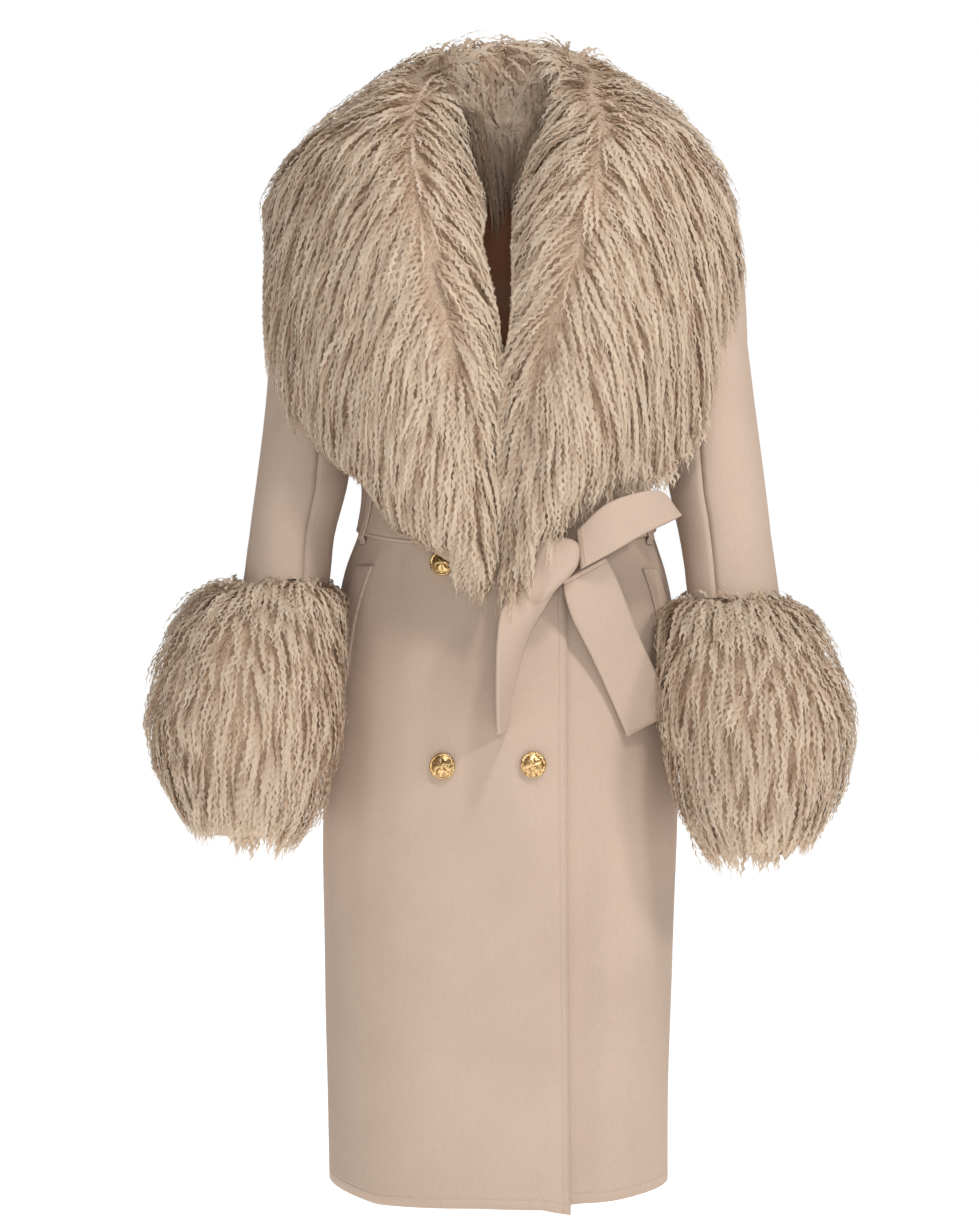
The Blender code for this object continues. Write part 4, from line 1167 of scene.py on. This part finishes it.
def settle_collar(side):
    """Holds the hair out of the V, inside the neckline, and close to the shoulder."""
    def settle(path, out):
        x, y, z = path[..., 0].copy(), path[..., 1].copy(), path[..., 2]
        middle = np.interp(-z, -V_OPENING[:, 0], V_OPENING[:, 1])
        half = np.interp(-z, -V_OPENING[:, 0], V_OPENING[:, 2])
        beside = (y < -40) & (z < -70) & (z > V_OPENING[-1, 0])
        x = np.where(beside, middle + side * np.maximum(side * (x - middle), half), x)
        root, face = path[:, :1], out[:, :1]
        inner = (NECK_X - root[..., 0]) * face[..., 0] + (NECK_Y - root[..., 1]) * face[..., 1] > 15
        inner = inner & (root[..., 2] > -30)
        x = x - side * 5 * bell(x - NECK_X, 10) * (y > 0)
        layer = 0.80 + 0.20 * (np.arange(len(path))[:, None] * 0.618 % 1)
        far = np.hypot((x - NECK_X) / NECKLINE_X, y / NECKLINE_Y) / layer
        pull = inner * smooth_step(-z, -24, -4) * np.maximum(0, 1 - 1 / np.maximum(far, 0.01))
        x, y = x - (x - NECK_X) * pull, y * (1 - pull)
        if side < 0:
            x = held_in(x, z, -232, 0.75)
            floor = np.interp(x, LOWER_EDGE[:, 0], LOWER_EDGE[:, 1])
            below = (x > -200) & (x < -47) & (y < 0)
            z = np.where(below, np.maximum(z, floor + 0.25 * (z - floor)), z)
        return np.stack([x, y, z], -1)
    return settle


for word, side, line, seed in (("right", -1, ROLL_RIGHT, 11), ("left", 1, ROLL_LEFT, 23)):
    pelt_piece(f"collar_{word}", sink=8.0, settle=settle_pelt)
    flow, settle = collar_flow(line), settle_collar(side)
    for batch in range(2):
        fur_piece(f"fur_collar_{word}_{batch + 1}", f"collar_{word}", flow, settle, seed=seed + 5 * batch,
                  count=2900, length=76.0, over=26.0, width=3.4, rise=4.0)


# Fur cuffs
# The same lamb round each wrist. Its hair stands out from the sleeve's end and falls all round, past
# the opening.

# Centres of the upper and the lower end
CUFF_AXIS = {"right": ((-211, -43, -450), (-240, -98, -600)), "left": ((230, -43, -465), (248, -98, -616))}
# How much narrower the dressed cuff is than its solid. depth below the neck seam, share
CUFF_TAPER = np.array([(590, 0), (645, 0.11), (665, 0.13), (683, 0.16), (702, 0.20), (720, 0.22)], float)


def cuff_flow(top, low):
    top, low = np.array(top, float), np.array(low, float)

    def flow(points, normals):
        t = np.clip((points[:, 2] - top[2]) / (low[2] - top[2]), 0, 1)[:, None]
        away = points - (top + (low - top) * t)
        away[:, 2] = 0
        rim = 1 - smooth_step(t, 0.0, 0.10)
        drop = np.array([0, 0, -1.0]) * (0.55 + 0.6 * t - 0.75 * rim)
        lie = unit(away) * (0.55 - 0.5 * t + 0.5 * rim) + drop
        t = t[:, 0]
        return lie, 0.75 + 0.25 * t, 1.0 + 2.5 * (1 - smooth_step(t, 0.0, 0.25)), np.ones(len(points))
    return flow


def settle_cuff(top, low):
    """Draws the cuff in towards its lower end."""
    def settle(points, out=None):
        z = points[..., 2]
        share = np.clip((z - top[2]) / (low[2] - top[2]), 0, 1.6)
        keep = 1 - np.interp(-z, CUFF_TAPER[:, 0], CUFF_TAPER[:, 1])
        x = top[0] + (low[0] - top[0]) * share
        y = top[1] + (low[1] - top[1]) * share
        return np.stack([x + (points[..., 0] - x) * keep, y + (points[..., 1] - y) * keep, z], -1)
    return settle


def rim_flow(top):
    """Short locks that stand up round the cuff's upper rim."""
    def flow(points, normals):
        away = points - np.array(top, float)
        away[:, 2] = 0
        rim = 1 - smooth_step(-points[:, 2] + top[2], 2.0, 14.0)
        return unit(away) * 0.15 + np.array([0, 0, 0.9]), np.ones(len(points)), rim, np.ones(len(points))
    return flow


for word, seed in (("right", 37), ("left", 53)):
    settle = settle_cuff(*CUFF_AXIS[word])
    fur_piece(f"fur_rim_{word}", f"cuff_{word}", rim_flow(CUFF_AXIS[word][0]), settle,
              seed=seed + 5, count=420, length=27.0, over=20.0, width=3.0, rise=3.0)
    pelt_piece(f"cuff_{word}", sink=9.0, settle=settle)
    fur_piece(f"fur_cuff_{word}", f"cuff_{word}", cuff_flow(*CUFF_AXIS[word]), settle,
              seed=seed, count=2500, length=64.0, over=21.0, width=3.4, rise=4.0)


# Floor, light and camera
# A plain pale floor, soft lights from the right, weak ones from in front, the left and above, and the
# camera of the photograph.

WHITE = (1.0, 1.0, 1.0, 1.0)

bpy.ops.mesh.primitive_plane_add(size=30, location=(0, 0, -1.5))
floor = bpy.context.active_object
floor.name = "floor"
floor_finish, tree, skin = new_finish("floor_pale")
set_inputs(tree, skin, {"Base Color": (0.92, 0.92, 0.92, 1.0), "Roughness": 0.9,
                        "Emission Color": WHITE, "Emission Strength": 0.95})
floor.data.materials.append(floor_finish)

world = bpy.data.worlds.new("studio")
bpy.context.scene.world = world
world.use_nodes = True
tree = world.node_tree
around = set_inputs(tree, tree.nodes["Background"], {"Color": WHITE, "Strength": 0.14})
backdrop = add_node(tree, "ShaderNodeBackground", {"Color": WHITE, "Strength": 1.0})
which = add_node(tree, "ShaderNodeLightPath")
both = add_node(tree, "ShaderNodeMixShader", {0: which.outputs["Is Camera Ray"], 1: around.outputs[0],
                                              2: backdrop.outputs[0]})
tree.links.new(both.outputs[0], tree.nodes["World Output"].inputs["Surface"])
bpy.context.scene.view_settings.view_transform = "Standard"


def soft_light(name, place, aim, size, power):
    lamp = bpy.data.lights.new(name, "AREA")
    lamp.shape = "DISK"
    lamp.size = size
    lamp.energy = power
    holder = bpy.data.objects.new(name, lamp)
    bpy.context.scene.collection.objects.link(holder)
    holder.location = place
    holder.rotation_euler = (Vector(aim) - Vector(place)).to_track_quat("-Z", "Y").to_euler()


soft_light("light_upper_right", (0.9, -1.9, 2.3), (0, 0, -0.45), size=0.5, power=44)
soft_light("light_right", (2.3, -1.9, 0.9), (0, 0, -0.45), size=0.45, power=29)
soft_light("light_front", (-0.01, -2.95, -0.3), (0, 0, -0.5), size=0.5, power=15)
soft_light("light_left", (-2.0, -2.4, 0.2), (0, 0, -0.5), size=1.4, power=5)
soft_light("light_top", (0, -0.9, 1.5), (0, 0, -0.2), size=0.8, power=8)

view = bpy.data.cameras.new("camera")
view.sensor_fit = "VERTICAL"
view.sensor_height = 36
view.lens = 82.35
camera = bpy.data.objects.new("camera", view)
bpy.context.scene.collection.objects.link(camera)
camera.location = (-0.0105, -2.8, -0.482)
camera.rotation_euler = (math.radians(90), 0, 0)
bpy.context.scene.camera = camera
